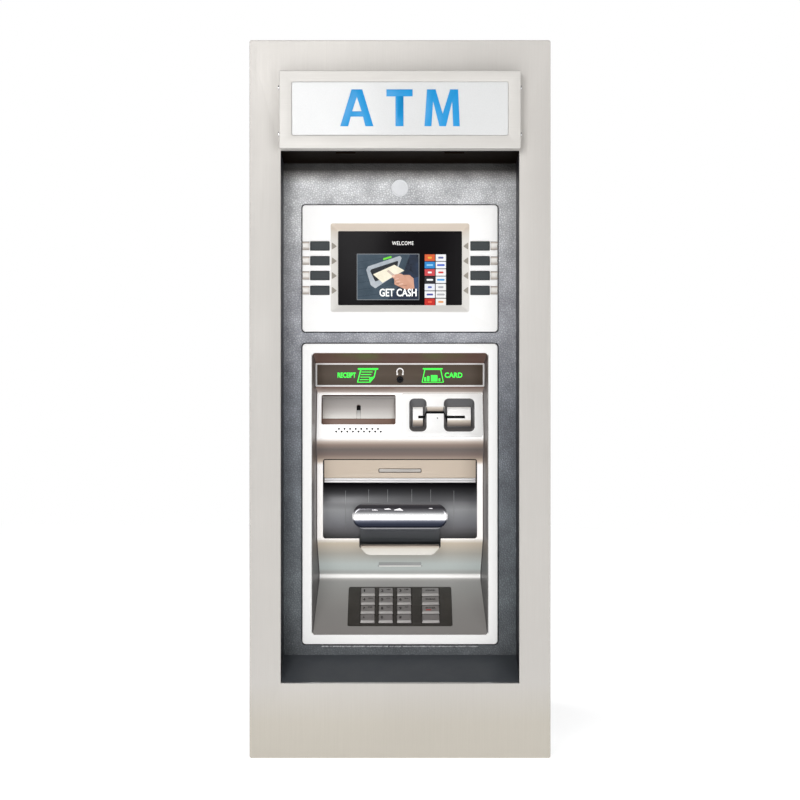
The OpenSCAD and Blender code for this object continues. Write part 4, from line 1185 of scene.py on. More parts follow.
class CASH_MACHINE_OT_header(bpy.types.Operator):
    """Header panel with its lit legends, symbols and headphone socket"""
    bl_idname = "cash_machine.header"
    bl_label = "Header panel"

    def execute(self, context):
        y = FACE + HEAD - 3
        z = 663.75
        # The bands are lighter across the middle of the panel: a painted sheen.
        brown = finish("Header acrylic", None, 0.34, cloud=8, vary=0.25,
                       rough_swing=0.06, speck=700, bump=0.004, specular=0.12, bands=[
                           (642, (0.075, 0.055, 0.041)), (664, (0.105, 0.080, 0.060)),
                           (686, (0.085, 0.062, 0.046))])
        rim = finish("Header rim", (0.86, 0.85, 0.84), 0.35, cloud=12, speck=900, bump=0.02)
        plate = painted(panel("plate", [rect(303, 41.4, 2, 0, z), disc(6.25, 0, JACK_Z)],
                              y + 0.6, y + 3, 0.2), brown)
        border = painted(panel("rim", [rect(304.6, 42.8, 2.2, 0, z), rect(298.4, 36.6, 1, 0, z)],
                               y - 0.2, y + 2.2, 0.5), rim)
        fitted(joined("header_plate", [plate, border]),
               stands_for=["header_panel"])
        green = finish("Lit green legend", fascia().legend, 0.4, cloud=40, vary=0.3,
                       speck=900, bump=0.0, glow=0.75)
        pale = finish("White legend", (0.90, 0.88, 0.86), 0.4, cloud=40, vary=0.2, speck=900,
                      bump=0.02, glow=0.12)

        def mark(name, loops, tint=green):
            piece = panel("legend_" + name, loops, y + 0.45, y + 0.65, 0)
            return fitted(piece, tint)

        for words, x, width in (("RECEIPT", -96.0, 33.0), ("CARD", 96.4, 32.0)):
            printed("legend_" + words.lower(), words, (x, y + 0.55, z - 0.4), green,
                    "header_brown", 9.6, width, 0.2, 0.03)
        x, up = -58.5, z + 2.2
        mark("receipt_slot", [rect(37, 2.6, 0.8, x + 1, up + 8.6)])
        mark("receipt_paper", [
            filleted([(x - 13, up + 8, 0.5), (x + 16, up + 8, 0.5), (x + 13, up - 6, 0.8),
                      (x + 5, up - 16, 0.8), (x - 19, up - 16, 0.8)]),
            filleted([(x - 11, up + 6.6, 0.4), (x + 14, up + 6.6, 0.4), (x + 11.2, up - 5, 0.5),
                      (x + 3.6, up - 14.6, 0.5), (x - 17, up - 14.6, 0.5)])])
        for n in range(4):
            mark("receipt_line_%d" % n, [rect(20 - 1.3 * n, 1.4, 0.5, x - 1 - 1.6 * n,
                                              up + 3.0 - 4.6 * n)])
        mark("receipt_fold", [filleted([(x + 3, up - 15, 0.4), (x + 12.4, up - 5.2, 0.4),
                                        (x + 3.6, up - 6.8, 0.4)])])
        x = 59.0
        mark("card_slot", [rect(36, 2.2, 0.8, x, up + 8.8)])
        mark("card_outline", [
            filleted([(x - 15, up + 8, 0.4), (x + 15, up + 8, 0.4), (x + 20, up - 16, 0.8),
                      (x - 20, up - 16, 0.8)]),
            filleted([(x - 13.7, up + 6.8, 0.4), (x + 13.7, up + 6.8, 0.4),
                      (x + 18.3, up - 14.8, 0.5), (x - 18.3, up - 14.8, 0.5)])])
        mark("card_stripe", [rect(3.4, 7, 0.5, x - 13.4, up - 10)])
        mark("card_line", [rect(4.2, 9, 0.5, x - 8, up - 9)])
        mark("card_chip", [rect(12, 11, 1.0, x + 2.5, up - 8.2)])
        mark("card_corner", [rect(3, 5, 0.5, x + 12, up - 11)])
        band = arc(0, z + 6.0, 6.6, -42, 222, 24) + arc(0, z + 6.0, 4.6, 222, -42, 24)
        mark("headphones", [band], pale)
        for side in (-1, 1):
            mark("headphone_pad_%d" % (side + 1), [rect(3.0, 4.6, 0.9, side * 5.0, z + 1.8)], pale)
        socket = turned("headphone_socket", [(6.1, 3), (6.1, -0.6), (5.4, -1.3), (3.6, -1.3),
                                             (3.0, -0.6), (1.8, -0.6), (1.8, 8), (6.1, 8),
                                             (6.1, 3)], (0, y + 0.6, JACK_Z), "Y", 40, False)
        black = finish("Socket black", (0.010, 0.010, 0.012), 0.5, cloud=60, speck=1500,
                       bump=0.05, specular=0.1)
        fitted(socket, black, stands_for=["headphone_jack"])
        return {"FINISHED"}


class CASH_MACHINE_OT_receipt(bpy.types.Operator):
    """Receipt pocket and its hinged flap"""
    bl_idname = "cash_machine.receipt"
    bl_label = "Receipt pocket"

    def execute(self, context):
        walls = panel("walls", [rect(139, 59.4, 5, RECEIPT_X, POCKET_Z),
                                rect(134.3, 54.6, 3.2, RECEIPT_X, POCKET_Z)], 1.2, 22, 0.4)
        back = panel("back", [rect(138, 58, 4, RECEIPT_X, POCKET_Z),
                              rect(118, 9, 1, RECEIPT_X, 17)], 18.6, 20.6, 0.3)
        tab = panel("tab", [rect(7.0, 15.5, 1.2, RECEIPT_X, 4.4)], 15.6, 16.6, 0.2)
        # The pocket's brown walls are painted shade inside the pocket, the black sheet behind the slot
        # is painted shade, and the tab is painted darker towards the top, under the flap.
        dark = panel("dark", [rect(122, 14, 1, RECEIPT_X, 17)], 20.7, 21.6, 0.2)
        brown = finish("Pocket shade plastic", (0.27, 0.155, 0.11), 0.4, cloud=20, vary=0.3, speck=1000,
                       bump=0.05)
        black = finish("Pocket slot shade", (0.012, 0.010, 0.010), 0.6, cloud=40, speck=1200, bump=0.04,
                       specular=0.1)
        paper = finish("Paper guide", None, 0.5, cloud=30, vary=0.2, speck=1200,
                       bump=0.03, bands=[(586, (0.90, 0.88, 0.84)), (598, (0.45, 0.45, 0.44))])
        parts = [painted(walls, brown), painted(back, brown), painted(tab, paper),
                 painted(dark, black)]
        pocket = joined("receipt_pocket", parts)
        fitted(placed(pocket, ON_FACE))
        steps = 14
        outer = []
        for k in range(steps + 1):
            t = k / steps
            outer.append((3.2 + 12 * math.sin(math.pi / 2 * t), 34 - 37.4 * t))
        inner = [(y + 1.9, z + 0.2) for y, z in outer[::-1]]
        flap = sweep("flap", outer + inner, RECEIPT_X - 65.8, RECEIPT_X + 65.8, 0.45)
        notch = panel("notch", [rect(7.6, 40, 3.7, RECEIPT_X, 1.6)], -8, 30, 0)
        cut(flap, [notch])
        barrel = turned("barrel", [(0.01, -65.8), (2.0, -65.8), (2.4, -65.3), (2.4, 65.3),
                                   (2.0, 65.8), (0.01, 65.8)], (RECEIPT_X, 3.2, 34), "X", 24, False)
        pin = turned("pin", [(1.5, -69.3), (1.5, 69.3)], (RECEIPT_X, 3.2, 34), "X", 16)
        piece = placed(joined("receipt_flap_panel", [flap, barrel, pin]), ON_FACE)
        # The bands paint light and shade: the flap is lightest at its lower edge and darker towards the
        # hinge.
        flap_shade = finish("Flap plastic", None, 0.42, 0.1, cloud=9, vary=0.2,
                       rough_swing=0.05, speck=900, bump=0.01, specular=0.3, bands=[
                           (584, (0.86, 0.84, 0.80)), (593, (0.66, 0.64, 0.61)),
                           (606, (0.44, 0.41, 0.395)), (618, (0.33, 0.31, 0.295)),
                           (627, (0.25, 0.235, 0.225))])
        fitted(piece, flap_shade, body="receipt_flap_body",
               stands_for=["receipt_flap"])
        return {"FINISHED"}


class CASH_MACHINE_OT_card_slot(bpy.types.Operator):
    """Card bezel with two finger bowls, the bright guides in them and the slot"""
    bl_idname = "cash_machine.card_slot"
    bl_label = "Card slot"

    def execute(self, context):
        bowls = ((32.5, 31.4), (107.3, 55.8))
        holes = [rect(w, 61, 9, x, 0.5) for x, w in bowls]
        plate = panel("plate", [rect(146.2, 79.8, 4, CARD_X, 0)] + holes, 0.1, 4, 0.7, 3)
        ledge = sweep("ledge", [(-2, 18), (0.4, 16.9), (6, 8.6), (6, 2.9), (-2, 2.9)],
                      47.2, 80.2, 0)
        cut(plate, [ledge, self.slab()])
        # A glow paints extra light onto the white plate.
        made = [painted(plate, finish("Card plate white", (0.90, 0.90, 0.89), 0.34, cloud=9,
                                      vary=0.06, speck=1000, bump=0.02, glow=0.16))]
        slate = finish("Finger bowl plastic", (0.13, 0.13, 0.135), 0.34, 0.1, cloud=25, vary=0.3,
                       speck=1100, bump=0.04)
        # The bands paint shade on the guides, white above and darker and browner towards their lower
        # edge, and a glow paints in light.
        bright = finish("Card guide", None, 0.34, glow=0.15, cloud=20, vary=0.1,
                        speck=1000, bump=0.02, bands=[
                            (573, (0.20, 0.165, 0.14)), (577, (0.40, 0.335, 0.28)),
                            (581, (0.66, 0.59, 0.50)), (583.5, (0.99, 0.98, 0.965)),
                            (603, (0.99, 0.98, 0.965)), (606, (0.80, 0.77, 0.72))])
        for x, w in bowls:
            rings = []
            for side, top, low, y, r in ((-0.6, -0.6, -0.6, 1.0, 9.6), (0.2, 0.3, 0.3, 0.9, 9),
                                         (1.4, 2.2, 1.6, 3.0, 8), (3.6, 8.5, 6.0, 8.5, 6),
                                         (5.2, 13.0, 10.5, 14.0, 4), (5.2, 13, 10.5, 18.0, 4),
                                         (-2.0, -2, -2.0, 18.0, 9), (-2.0, -2, -2.0, 4.2, 10)):
                rings.append(ring_at(y, w - 2 * side, 61 - top - low, r, x,
                                     0.5 + (low - top) / 2, 7))
            bowl = from_rings("bowl", rings + [rings[0]], capped=False)
            made.append(painted(cut(bowl, [self.slab()]), slate))
            shape = filleted([(12.6, 17.6, 1), (9.4, 12.8, 2), (8.6, 0, 6), (9.6, -9.5, 6),
                              (13.4, -17.6, 2), (19.5, -17.6, 1), (19.5, 17.6, 1)])
            guide = sweep("guide", shape, x - w / 2 + 6.6, x + w / 2 - 6.6, 0.3)
            made.append(painted(cut(guide, [self.slab()]), bright))
        # The black slabs fill the card's path: painted shade in the slot.
        black = finish("Card throat shade", (0.006, 0.006, 0.007), 0.5, cloud=60, speck=1500, bump=0.05,
                       specular=0.05)
        for x0, x1, front in ((33.4, 44.4, 9.5), (44.3, 45.7, 6.6), (45.6, 47.0, 3.6),
                              (46.9, 80.5, 1.1), (80.4, 81.8, 3.6), (81.7, 83.1, 6.6),
                              (83.0, 117.7, 9.5)):
            made.append(painted(self.slab(front, 19.5, x0, x1, 5.36), black))
        for x, w in bowls:
            made.append(painted(panel("bowl_floor", [rect(w - 6, 46, 4, x, 0)], 16.6, 17.8, 0.2),
                                slate))
        # The bands paint the shade in the groove above the slot: dark below, lighter towards its upper
        # edge.
        brown = finish("Card ledge", None, 0.4, cloud=30, vary=0.2, speck=1100,
                       bump=0.03, bands=[(593, (0.10, 0.075, 0.06)), (598, (0.36, 0.29, 0.235)),
                                         (604, (0.66, 0.58, 0.50)), (608, (0.93, 0.92, 0.90))])
        made.append(painted(sweep("ledge_slope", [(0.7, 16.6), (4.2, 7.0), (4.2, 4.8), (5.6, 4.8),
                                                  (5.6, 7.6), (2.0, 17.2)], 46.8, 80.6, 0.1),
                            brown))
        lamp = turned("lamp", [(1.15, 0.6), (1.15, -0.15), (0.7, -0.4), (0.01, -0.45)],
                      (67.9, 0.1, -5.4), "Y", 20, False)
        made.append(painted(lamp, black))
        bezel = placed(joined("card_slot_bezel", made), ON_FACE)
        fitted(bezel, stands_for=["card_bezel"])
        groove = panel("card_groove", [rect(147.4, 81.0, 4.6, CARD_X, 0),
                                       rect(145.6, 79.2, 3.8, CARD_X, 0)], 0.55, 1.4, 0.1)
        fitted(placed(groove, ON_FACE), finish("Shadow gap", (0.33, 0.32, 0.31), 0.6, cloud=40,
                                               speck=1200, bump=0.03))
        return {"FINISHED"}

    def slab(self, front=-1.0, back=20.0, x0=32.6, x1=118.5, tall=5.4):
        """The path of the card: a thin slope that runs down into the machine."""
        slope = -7.1 / 8.8
        low, high = 5.8 - tall / 2, 5.8 + tall / 2
        return sweep("slab", [(front, low + slope * front), (front, high + slope * front),
                              (back, high + slope * back), (back, low + slope * back)], x0, x1, 0)


# ---- cash outlet ----

DRUM_Y, DRUM_Z, DRUM_R = FACE + 158, 425.0, 70.0


def drum_arc(r0, r1, low, high, steps=40):
    """An outline in Y and Z between two radii, from low below the front to high above it."""
    outer = arc(DRUM_Y, DRUM_Z, r1, 180 + low, 180 - high, steps)
    return outer + arc(DRUM_Y, DRUM_Z, r0, 180 - high, 180 + low, steps)


class CASH_MACHINE_OT_outlet(bpy.types.Operator):
    """Visor, drum, chrome lip, shutter and tray of the cash outlet"""
    bl_idname = "cash_machine.outlet"
    bl_label = "Cash outlet"

    def execute(self, context):
        y = FACE + PLANE
        beige = finish("Visor beige", fascia().beige, 0.42, cloud=7, vary=0.12,
                       speck=1000, bump=0.03)
        edge_white = finish("Visor lip", (0.86, 0.85, 0.85), 0.25, 0.15, cloud=10, vary=0.1,
                            speck=900, bump=0.02)
        shade = finish("Outlet shadow gap", (0.03, 0.02, 0.02), 0.6, cloud=30, speck=900,
                       bump=0.05)
        plate = painted(panel("plate", [rect(275, 32.4, 1.5, 0, 493.4),
                                        rect(78, 7.4, 2, 0, 490.4)], y - 1, y + 2, 0.5), beige)
        silver = finish("Marker silver", (0.50, 0.47, 0.44), 0.35, 0.2, cloud=20, speck=900,
                        bump=0.03)
        mark = painted(panel("mark", [rect(75.6, 5.4, 1.4, 0, 490.4)], y + 0.3, y + 2.2, 0.3),
                       silver)
        beads = [painted(sweep("bead", filleted([(y - 3.2, z - 2.1, 1.9), (y + 1.4, z - 2.1, 1.2),
                                                 (y + 1.4, z + 2.1, 1.2), (y - 3.2, z + 2.1, 1.9)]),
                               -137, 137, 0.8), edge_white) for z in (474.9, 470.6)]
        back = painted(panel("back", [rect(296, 46, 1, 0, 492.6)], y + 2.9, y + 5.4, 0.3), shade)
        visor = joined("outlet_visor_plate", [plate, mark, back] + beads)
        fitted(visor, stands_for=["outlet_visor"])

        # The bands paint the drum's light and shade: lightest just below its axis, darkest towards the
        # top under the visor.
        dark = finish("Drum plastic", None, 0.36, 0.1, cloud=8, vary=0.3,
                      rough_swing=0.08, speck=900, bump=0.03, bands=[
                          (360, (0.21, 0.21, 0.23)), (384, (0.20, 0.20, 0.22)),
                          (404, (0.25, 0.255, 0.27)), (419, (0.30, 0.305, 0.315)),
                          (436, (0.085, 0.085, 0.092)), (453, (0.020, 0.020, 0.023)),
                          (466, (0.008, 0.006, 0.008))])
        cover = sweep("cover", drum_arc(DRUM_R - 4, DRUM_R, 76, 50), -144, 144, 0.3)
        # The seams are the drum's joints, drawn lighter than the drum as painted highlights.
        seam = finish("Drum seam highlight", (0.22, 0.225, 0.23), 0.35, 0.2, cloud=40, speck=900, bump=0.02)
        seams = []
        for x, low, high in ((-99, 37, 24), (98, 37, 24), (-57, -6, 26), (-22.4, -6, 26),
                             (21.4, -6, 26), (55.8, -6, 26)):
            seams.append(painted(sweep("seam", drum_arc(DRUM_R - 1, DRUM_R + 0.22, low, high, 16),
                                       x - 0.45, x + 0.45, 0.1), seam))
        ends = [painted(sweep("end", drum_arc(DRUM_R - 20, DRUM_R - 4, 76, 50, 30),
                              x - 2, x + 2, 0.3), dark) for x in (-142, 142)]
        drum = joined("outlet_drum_cover", [painted(cover, dark)] + ends + seams)
        fitted(drum, stands_for=["outlet_drum"])

        rings = []
        for e, w, h, r in ((103, 150, 36, 16), (86, 162, 43, 20), (74, 169, 46, 22),
                           (66, 172, 46, 22), (61.4, 171.4, 43, 20.5), (58.6, 170, 37, 17.5),
                           (57.2, 168, 29, 13.5), (56.8, 165, 20, 9), (56.6, 150, 8, 3)):
            rings.append(ring_at(FACE + e, w, h, r, 0, LIP_Z, 9))
        # The bands and the glow paint the chrome's reflections: a white band across the middle and dark
        # bands above and below.
        chrome = finish("Lip chrome", None, 0.14, 0.9, cloud=42, vary=0.25,
                        rough_swing=0.06, speck=600, bump=0.004, glow=0.62, bands=[
                            (385.8, (0.62, 0.63, 0.66)), (387.4, (0.34, 0.35, 0.38)),
                            (388.8, (0.012, 0.014, 0.024)), (395, (0.018, 0.021, 0.034)),
                            (398.5, (0.045, 0.05, 0.07)), (401.2, (0.11, 0.115, 0.14)),
                            (403.2, (0.70, 0.70, 0.72)), (404.6, (0.98, 0.98, 0.98)),
                            (411.6, (0.98, 0.98, 0.98)), (414, (0.55, 0.55, 0.56)),
                            (416.5, (0.22, 0.22, 0.23)), (420, (0.10, 0.098, 0.105)),
                            (424, (0.035, 0.033, 0.038)), (428.5, (0.05, 0.048, 0.055)),
                            (431.6, (0.20, 0.20, 0.21))])
        lip = from_rings("cash_lip_chrome", rings)
        way = sweep("way", drum_arc(DRUM_R - 12, DRUM_R + 6.8, 76, 50), -73.4, 73.4, 0)
        fitted(smoothed(cut(lip, [way]), 60), chrome, stands_for=["cash_lip"])

        # Four raised, glowing flecks are painted reflections in the lip.
        glints = []
        for x, wide, z, tall in ((-3, 19, 421.4, 4.6), (-23, 17, 422.2, 2.6),
                                 (-47, 22, 420.4, 1.6), (54, 16, 423.2, 1.4)):
            bulge = FACE + 56.8 + 0.027 * (z - 418.6) ** 2
            shape = filleted([(x - wide / 2, z - tall * 0.3, 0.4), (x + wide / 2, z - tall / 2, 0.4),
                              (x + wide * 0.15, z + tall / 2, 0.4)])
            glints.append(panel("glint", [shape], bulge - 0.3, bulge + 1.4, 0.1))
        painted_glint = finish("Lip glint", (0.8, 0.78, 0.8), 0.2, 0.5, cloud=40, vary=0.2, speck=900,
                        bump=0.01, glow=0.6)
        fitted(joined("cash_lip_glints", glints), painted_glint)

        gate_dark = finish("Shutter plastic", (0.13, 0.14, 0.155), 0.34, 0.1, cloud=14, vary=0.4,
                           speck=900, bump=0.03)
        gate = sweep("gate", drum_arc(DRUM_R + 2.5, DRUM_R + 5.6, 62, -31, 18), -72.4, 72.4, 0.6)
        ribs = []
        for a in (36, 58.5):
            ribs.append(sweep("rib", drum_arc(DRUM_R + 5.2, DRUM_R + 6.0, a + 0.9, -(a - 0.9), 3),
                              -68, 68, 0.3))
        shutter = joined("cash_shutter_plate", [gate] + ribs)
        fitted(shutter, gate_dark, body="cash_shutter_body",
               stands_for=["cash_shutter"])

        # The bands paint light and shade: lightest at the lower edge and darker and browner towards the
        # top, under the shutter.
        shaded_cream = finish("Tray plastic", None, 0.36, cloud=12, vary=0.12, speck=1000,
                       bump=0.03, bands=[
                           (339, (0.95, 0.92, 0.86)), (341, (0.87, 0.84, 0.77)),
                           (349, (0.82, 0.78, 0.70)), (352.5, (0.62, 0.54, 0.45)),
                           (355, (0.46, 0.38, 0.31))])
        shape = filleted([(-71.2, 354.8, 0.8), (-71.2, 350, 6), (-60.4, 339, 6),
                          (60.4, 339, 6), (71.2, 350, 6), (71.2, 354.8, 0.8)])
        body = panel("body", [shape], FACE + 69.4, FACE + 107, 1.3, 3)
        scoop = placed(panel("scoop", [rect(137, 30, 6, 0, 0)], -9, 9, 0),
                       Matrix.Translation((0, (FACE + 88) * MM, 369.5 * MM))
                       @ Matrix.Rotation(math.radians(-16), 4, "X"))
        tray = cut(body, [scoop], 0.5)
        rim = sweep("rim", filleted([(FACE + 68.6, 338.2, 0.7), (FACE + 71.6, 338.2, 0.7),
                                     (FACE + 71.6, 340.2, 0.7), (FACE + 68.6, 340.2, 0.7)]),
                    -57, 57, 0.5)
        piece = joined("cash_tray_moulding", [tray, rim])
        fitted(piece, shaded_cream, stands_for=["cash_tray"])
        return {"FINISHED"}


# ---- keypad ----

COLUMNS = (-58.2, -25.6, 7.3, 55.2)
ROWS = (42.0, 16.6, -8.8, -34.2)
KEYS = (("key_1", "1", ""), ("key_2", "2", "ABC"), ("key_3", "3", "DEF"),
        ("key_cancel", "", "CANCEL"),
        ("key_4", "4", "GHI"), ("key_5", "5", "JKL"), ("key_6", "6", "MNO"),
        ("key_clear", "", "CLEAR"),
        ("key_7", "7", "PRS"), ("key_8", "8", "TUV"), ("key_9", "9", "WXY"),
        ("key_enter", "", "ENTER"),
        ("key_star", "*", ""), ("key_0", "0", ""), ("key_hash", "#", ""), ("key_blank", "", ""))


class CASH_MACHINE_OT_keypad(bpy.types.Operator):
    """Keypad plate and its sixteen metal keys with their legends"""
    bl_idname = "cash_machine.keypad"
    bl_label = "Keypad"

    def execute(self, context):
        dark = finish("Keypad plate", fascia().keypad, 0.42, 0.35, cloud=14, vary=0.35,
                      grain=(9, 900, 900), bump=0.05, wear=(0.16, 0.15, 0.14), dust=0.06)
        loops = [rect(186.8, 112.6, 3.6, 0, 2.4)]
        for n, (x, z) in enumerate((x, z) for z in ROWS for x in COLUMNS):
            loops.append(rect(32.3 if n % 4 == 3 else 26.8, 22.0, 1.8, x, z))
        plate = flat_shape("plate", loops, 3, 0.5)
        moved(plate, 0, 0, -1.7)
        tub = flat_shape("tub", [rect(178, 104, 2, 0, 2.4)], 3, 0.4)
        moved(tub, 0, 0, -13)
        walls = flat_shape("walls", [rect(183, 109, 3, 0, 2.4), rect(176, 102, 2, 0, 2.4)], 10, 0.3)
        moved(walls, 0, 0, -8.2)
        piece = placed(joined("keypad_plate", [plate, tub, walls]), ON_SHELF)
        fitted(piece, dark, stands_for=["keypad_body"])
        face = finish("Key metal", fascia().key_face, 0.34, 0.55, cloud=70, vary=0.3,
                      grain=(14, 1100, 1100), bump=0.05, wear=(0.62, 0.60, 0.59))
        # The lighter material on the keys' forward faces is a painted highlight.
        rim = finish("Key front edge highlight", (0.55, 0.53, 0.515), 0.34, 0.3, cloud=70, vary=0.2,
                     grain=(14, 1100, 1100), bump=0.04)
        ink = finish("Key legend ink", (0.02, 0.018, 0.018), 0.5, cloud=60, speck=1500, bump=0.02)
        red = finish("Red key mark", (0.55, 0.03, 0.03), 0.4, cloud=60, speck=1500, bump=0.02)
        for n, (name, digit, letters) in enumerate(KEYS):
            x, z = COLUMNS[n % 4], ROWS[n // 4]
            wide = 31.3 if n % 4 == 3 else 25.8
            rings = []
            for inset, near, up, r in ((-1.1, -1.1, -6.0, 1.6), (-1.1, -1.1, -3.7, 1.6),
                                       (0, 0, -3.6, 1.4), (0, 0, 0.9, 1.4), (0.25, 0.5, 1.4, 1.4),
                                       (0.9, 3.4, 2.75, 1.3), (1.3, 3.9, 2.95, 1.2),
                                       (2.6, 5.2, 2.9, 1.0), (5.0, 7.4, 2.75, 0.8)):
                rings.append([(px, pz, up) for px, pz in
                              rect(wide - 2 * inset, 21 - inset - near, r, x,
                                   z + (near - inset) / 2, 4)])
            cap = painted(smoothed(from_rings(name + "_cap", rings), 24), face, rim)
            # Faces that look forward take the lighter material, a painted highlight.
            for polygon in cap.data.polygons:
                polygon.material_index = int(polygon.normal.y < -0.2)
            fitted(placed(cap, ON_SHELF), body=name + "_body",
                   stands_for=[name])
            words = []
            if digit:
                words.append((digit, -6.6, 0.6, 7.0 if digit != "*" else 4.0,
                              4.2 if digit not in "*1" else 2.6))
            if letters and digit:
                words.append((letters, 4.6, 3.8, 2.7, 7.6))
            elif letters:
                words.append((letters, 0, 1.6, 3.2, 18.0))
            parts = []
            for text, dx, dz, tall, long in words:
                glyph = lettering("glyph", text, tall, long, 0.25, 0.02)
                moved(glyph, x + dx, z + 1.2 + dz, 2.98)
                parts.append(painted(glyph, ink))
            if name == "key_enter":
                dash = flat_shape("dash", [rect(9, 2.2, 0.6, x - 4, z - 2.6)], 0.25, 0.05)
                moved(dash, 0, 0, 2.95)
                parts.append(painted(dash, red))
            if parts:
                legend = placed(joined(name + "_legend", parts), ON_SHELF)
                fitted(legend, body=name + "_body")
        return {"FINISHED"}


# ---- cabinet, safe and what they hold ----

def cabinet_settings():
    return bpy.context.scene.machine_cabinet


def dressed(names, material, width=0.6, angle=30.0):
    """Gives CAD parts a finish and rounds their edges for the eye."""
    for name in names:
        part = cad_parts[name]
        painted(part, material)
        smoothed(part, angle)
        if width:
            soften(part, width)
        normals = part.modifiers.new("shading", "WEIGHTED_NORMAL")
        normals.keep_sharp = True


def bright_steel():
    return finish("Bright steel", (0.62, 0.62, 0.63), 0.24, 1.0, cloud=16, vary=0.25,
                  rough_swing=0.08, grain=(900, 60, 900), bump=0.04, wear=(0.8, 0.8, 0.8))


class CASH_MACHINE_OT_cabinet(bpy.types.Operator):
    """Painted cabinet and rear door with pressed louvres, seal, lock and hinges"""
    bl_idname = "cash_machine.cabinet"
    bl_label = "Cabinet"

    def execute(self, context):
        paint = finish("Cabinet paint", cabinet_settings().paint, 0.46, 0.1, cloud=3.2,
                       vary=0.35, speck=1300, bump=0.10, wear=(0.24, 0.24, 0.24), dust=0.22)
        dressed(["cabinet", "rear_door"], paint, 0.5)
        dressed(["door_lock"], bright_steel(), 0.5)
        dressed(["hinge_pins", "screws"], bright_steel(), 0.35)
        outer = REAR + 16.5
        louvres = [self.louvre(outer, base + 14 * i) for base in (570, 1060) for i in range(7)]
        fitted(joined("door_louvres", louvres, 50), paint, body="rear_door_body")
        _, h, mid = front_size("rear_door")
        ring = panel("door_seal", [rect(408, h - 12, 6, 0, mid), rect(396, h - 24, 4, 0, mid)],
                     REAR + 0.7, REAR + 4.4, 0.8)
        fitted(ring, rubber(), body="rear_door_body")
        swage = [panel("swage", [rect(390, 330, 10, 0, 850), rect(384, 324, 8, 0, 850)],
                       outer - 0.4, outer + 1.3, 0.6, 3)]
        fitted(joined("door_swage", swage), paint, body="rear_door_body")
        rosette = turned("lock_rosette", [(14.6, 0), (18.5, 0), (18.5, 1.0), (17.6, 1.9),
                                          (15.4, 1.9), (14.6, 1.2), (14.6, 0)],
                         (185, outer, 850), "Y", 48, False)
        fitted(rosette, bright_steel(), body="rear_door_body")
        return {"FINISHED"}

    def louvre(self, outer, z):
        """A pressed hood over one slot, open at its lower side."""
        widths = [(-90, 0.05), (-87, 0.55), (-83, 0.9), (-76, 1.0), (76, 1.0), (83, 0.9),
                  (87, 0.55), (90, 0.05)]
        skin = []
        for x, size in widths:
            arc_points = [(outer - 0.3 + 4.6 * size * math.sin(math.radians(a)),
                           z + 4.8 - 6.4 * (1 - math.cos(math.radians(a)))) for a in
                          (0, 22, 45, 67, 90)]
            inner = [(py - 0.9 * size, pz - 0.5) for py, pz in arc_points[::-1]]
            skin.append([(x, py, pz) for py, pz in arc_points + inner])
        return from_rings("louvre", skin)


class CASH_MACHINE_OT_safe(bpy.types.Operator):
    """Safe with its door, combination dial, lever and bolts"""
    bl_idname = "cash_machine.safe"
    bl_label = "Safe"

    def execute(self, context):
        paint = finish("Safe paint", cabinet_settings().safe, 0.42, 0.15, cloud=4.0,
                       vary=0.45, speck=900, bump=0.16, wear=(0.22, 0.22, 0.22), dust=0.16)
        dressed(["safe_body", "safe_door"], paint, 1.2)
        dressed(["safe_handle", "safe_bolts"], bright_steel(), 0.9)
        black = finish("Dial black", (0.014, 0.014, 0.015), 0.28, cloud=30, vary=0.4,
                       speck=1200, bump=0.04, coat=0.3)
        dressed(["safe_dial"], black, 0.5)
        low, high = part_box("safe_dial")
        x, z = (low.x + high.x) / 2 / MM, (low.z + high.z) / 2 / MM
        face = edge("safe_door", 1, True)
        ticks = []
        for k in range(50):
            a = 2 * math.pi * k / 50
            long = 4.2 if k % 5 == 0 else 2.4
            tick = flat_shape("tick", [rect(0.55, long, 0.15, 0, 29.8 - long / 2)], 0.5, 0.1)
            ticks.append(placed(tick, Matrix.Rotation(a, 4, "Z")))
        marks = merged("dial_marks", ticks)
        placed(marks, Matrix.Translation((x * MM, self.dial_face(x, z), z * MM))
               @ Matrix.Rotation(math.radians(-90), 4, "X"))
        ink = finish("Dial marks", (0.75, 0.75, 0.73), 0.4, cloud=60, speck=1500, bump=0.02)
        fitted(smoothed(marks), ink, body="safe_dial_body")
        index = panel("dial_index", [filleted([(x - 3, z + 40, 0.4), (x + 3, z + 40, 0.4),
                                               (x, z + 34, 0.4)])], face, face + 1.0, 0.3)
        fitted(index, ink, body="safe_door_body")
        rings = []
        for r, z in ((32, 250), (36.5, z)):
            rings.append(turned("ring", [(r - 5.5, 0), (r + 1, 0), (r + 1, 1.2), (r, 2.1),
                                         (r - 4.8, 2.1), (r - 5.5, 1.5), (r - 5.5, 0)],
                                (x, face, z), "Y", 64, False))
        escutcheons = joined("safe_escutcheons", rings, 40)
        fitted(escutcheons, bright_steel(), body="safe_door_body")
        return {"FINISHED"}

    def dial_face(self, x, z):
        """Depth of the dial's graduated rim, found from the CAD part's own points."""
        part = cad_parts["safe_dial"]
        turn = part.matrix_world
        rim = [turn @ v.co for v in part.data.vertices]
        far = [p.y for p in rim if math.hypot(p.x - x * MM, p.z - z * MM) > 0.028]
        return max(far) + 0.1 * MM


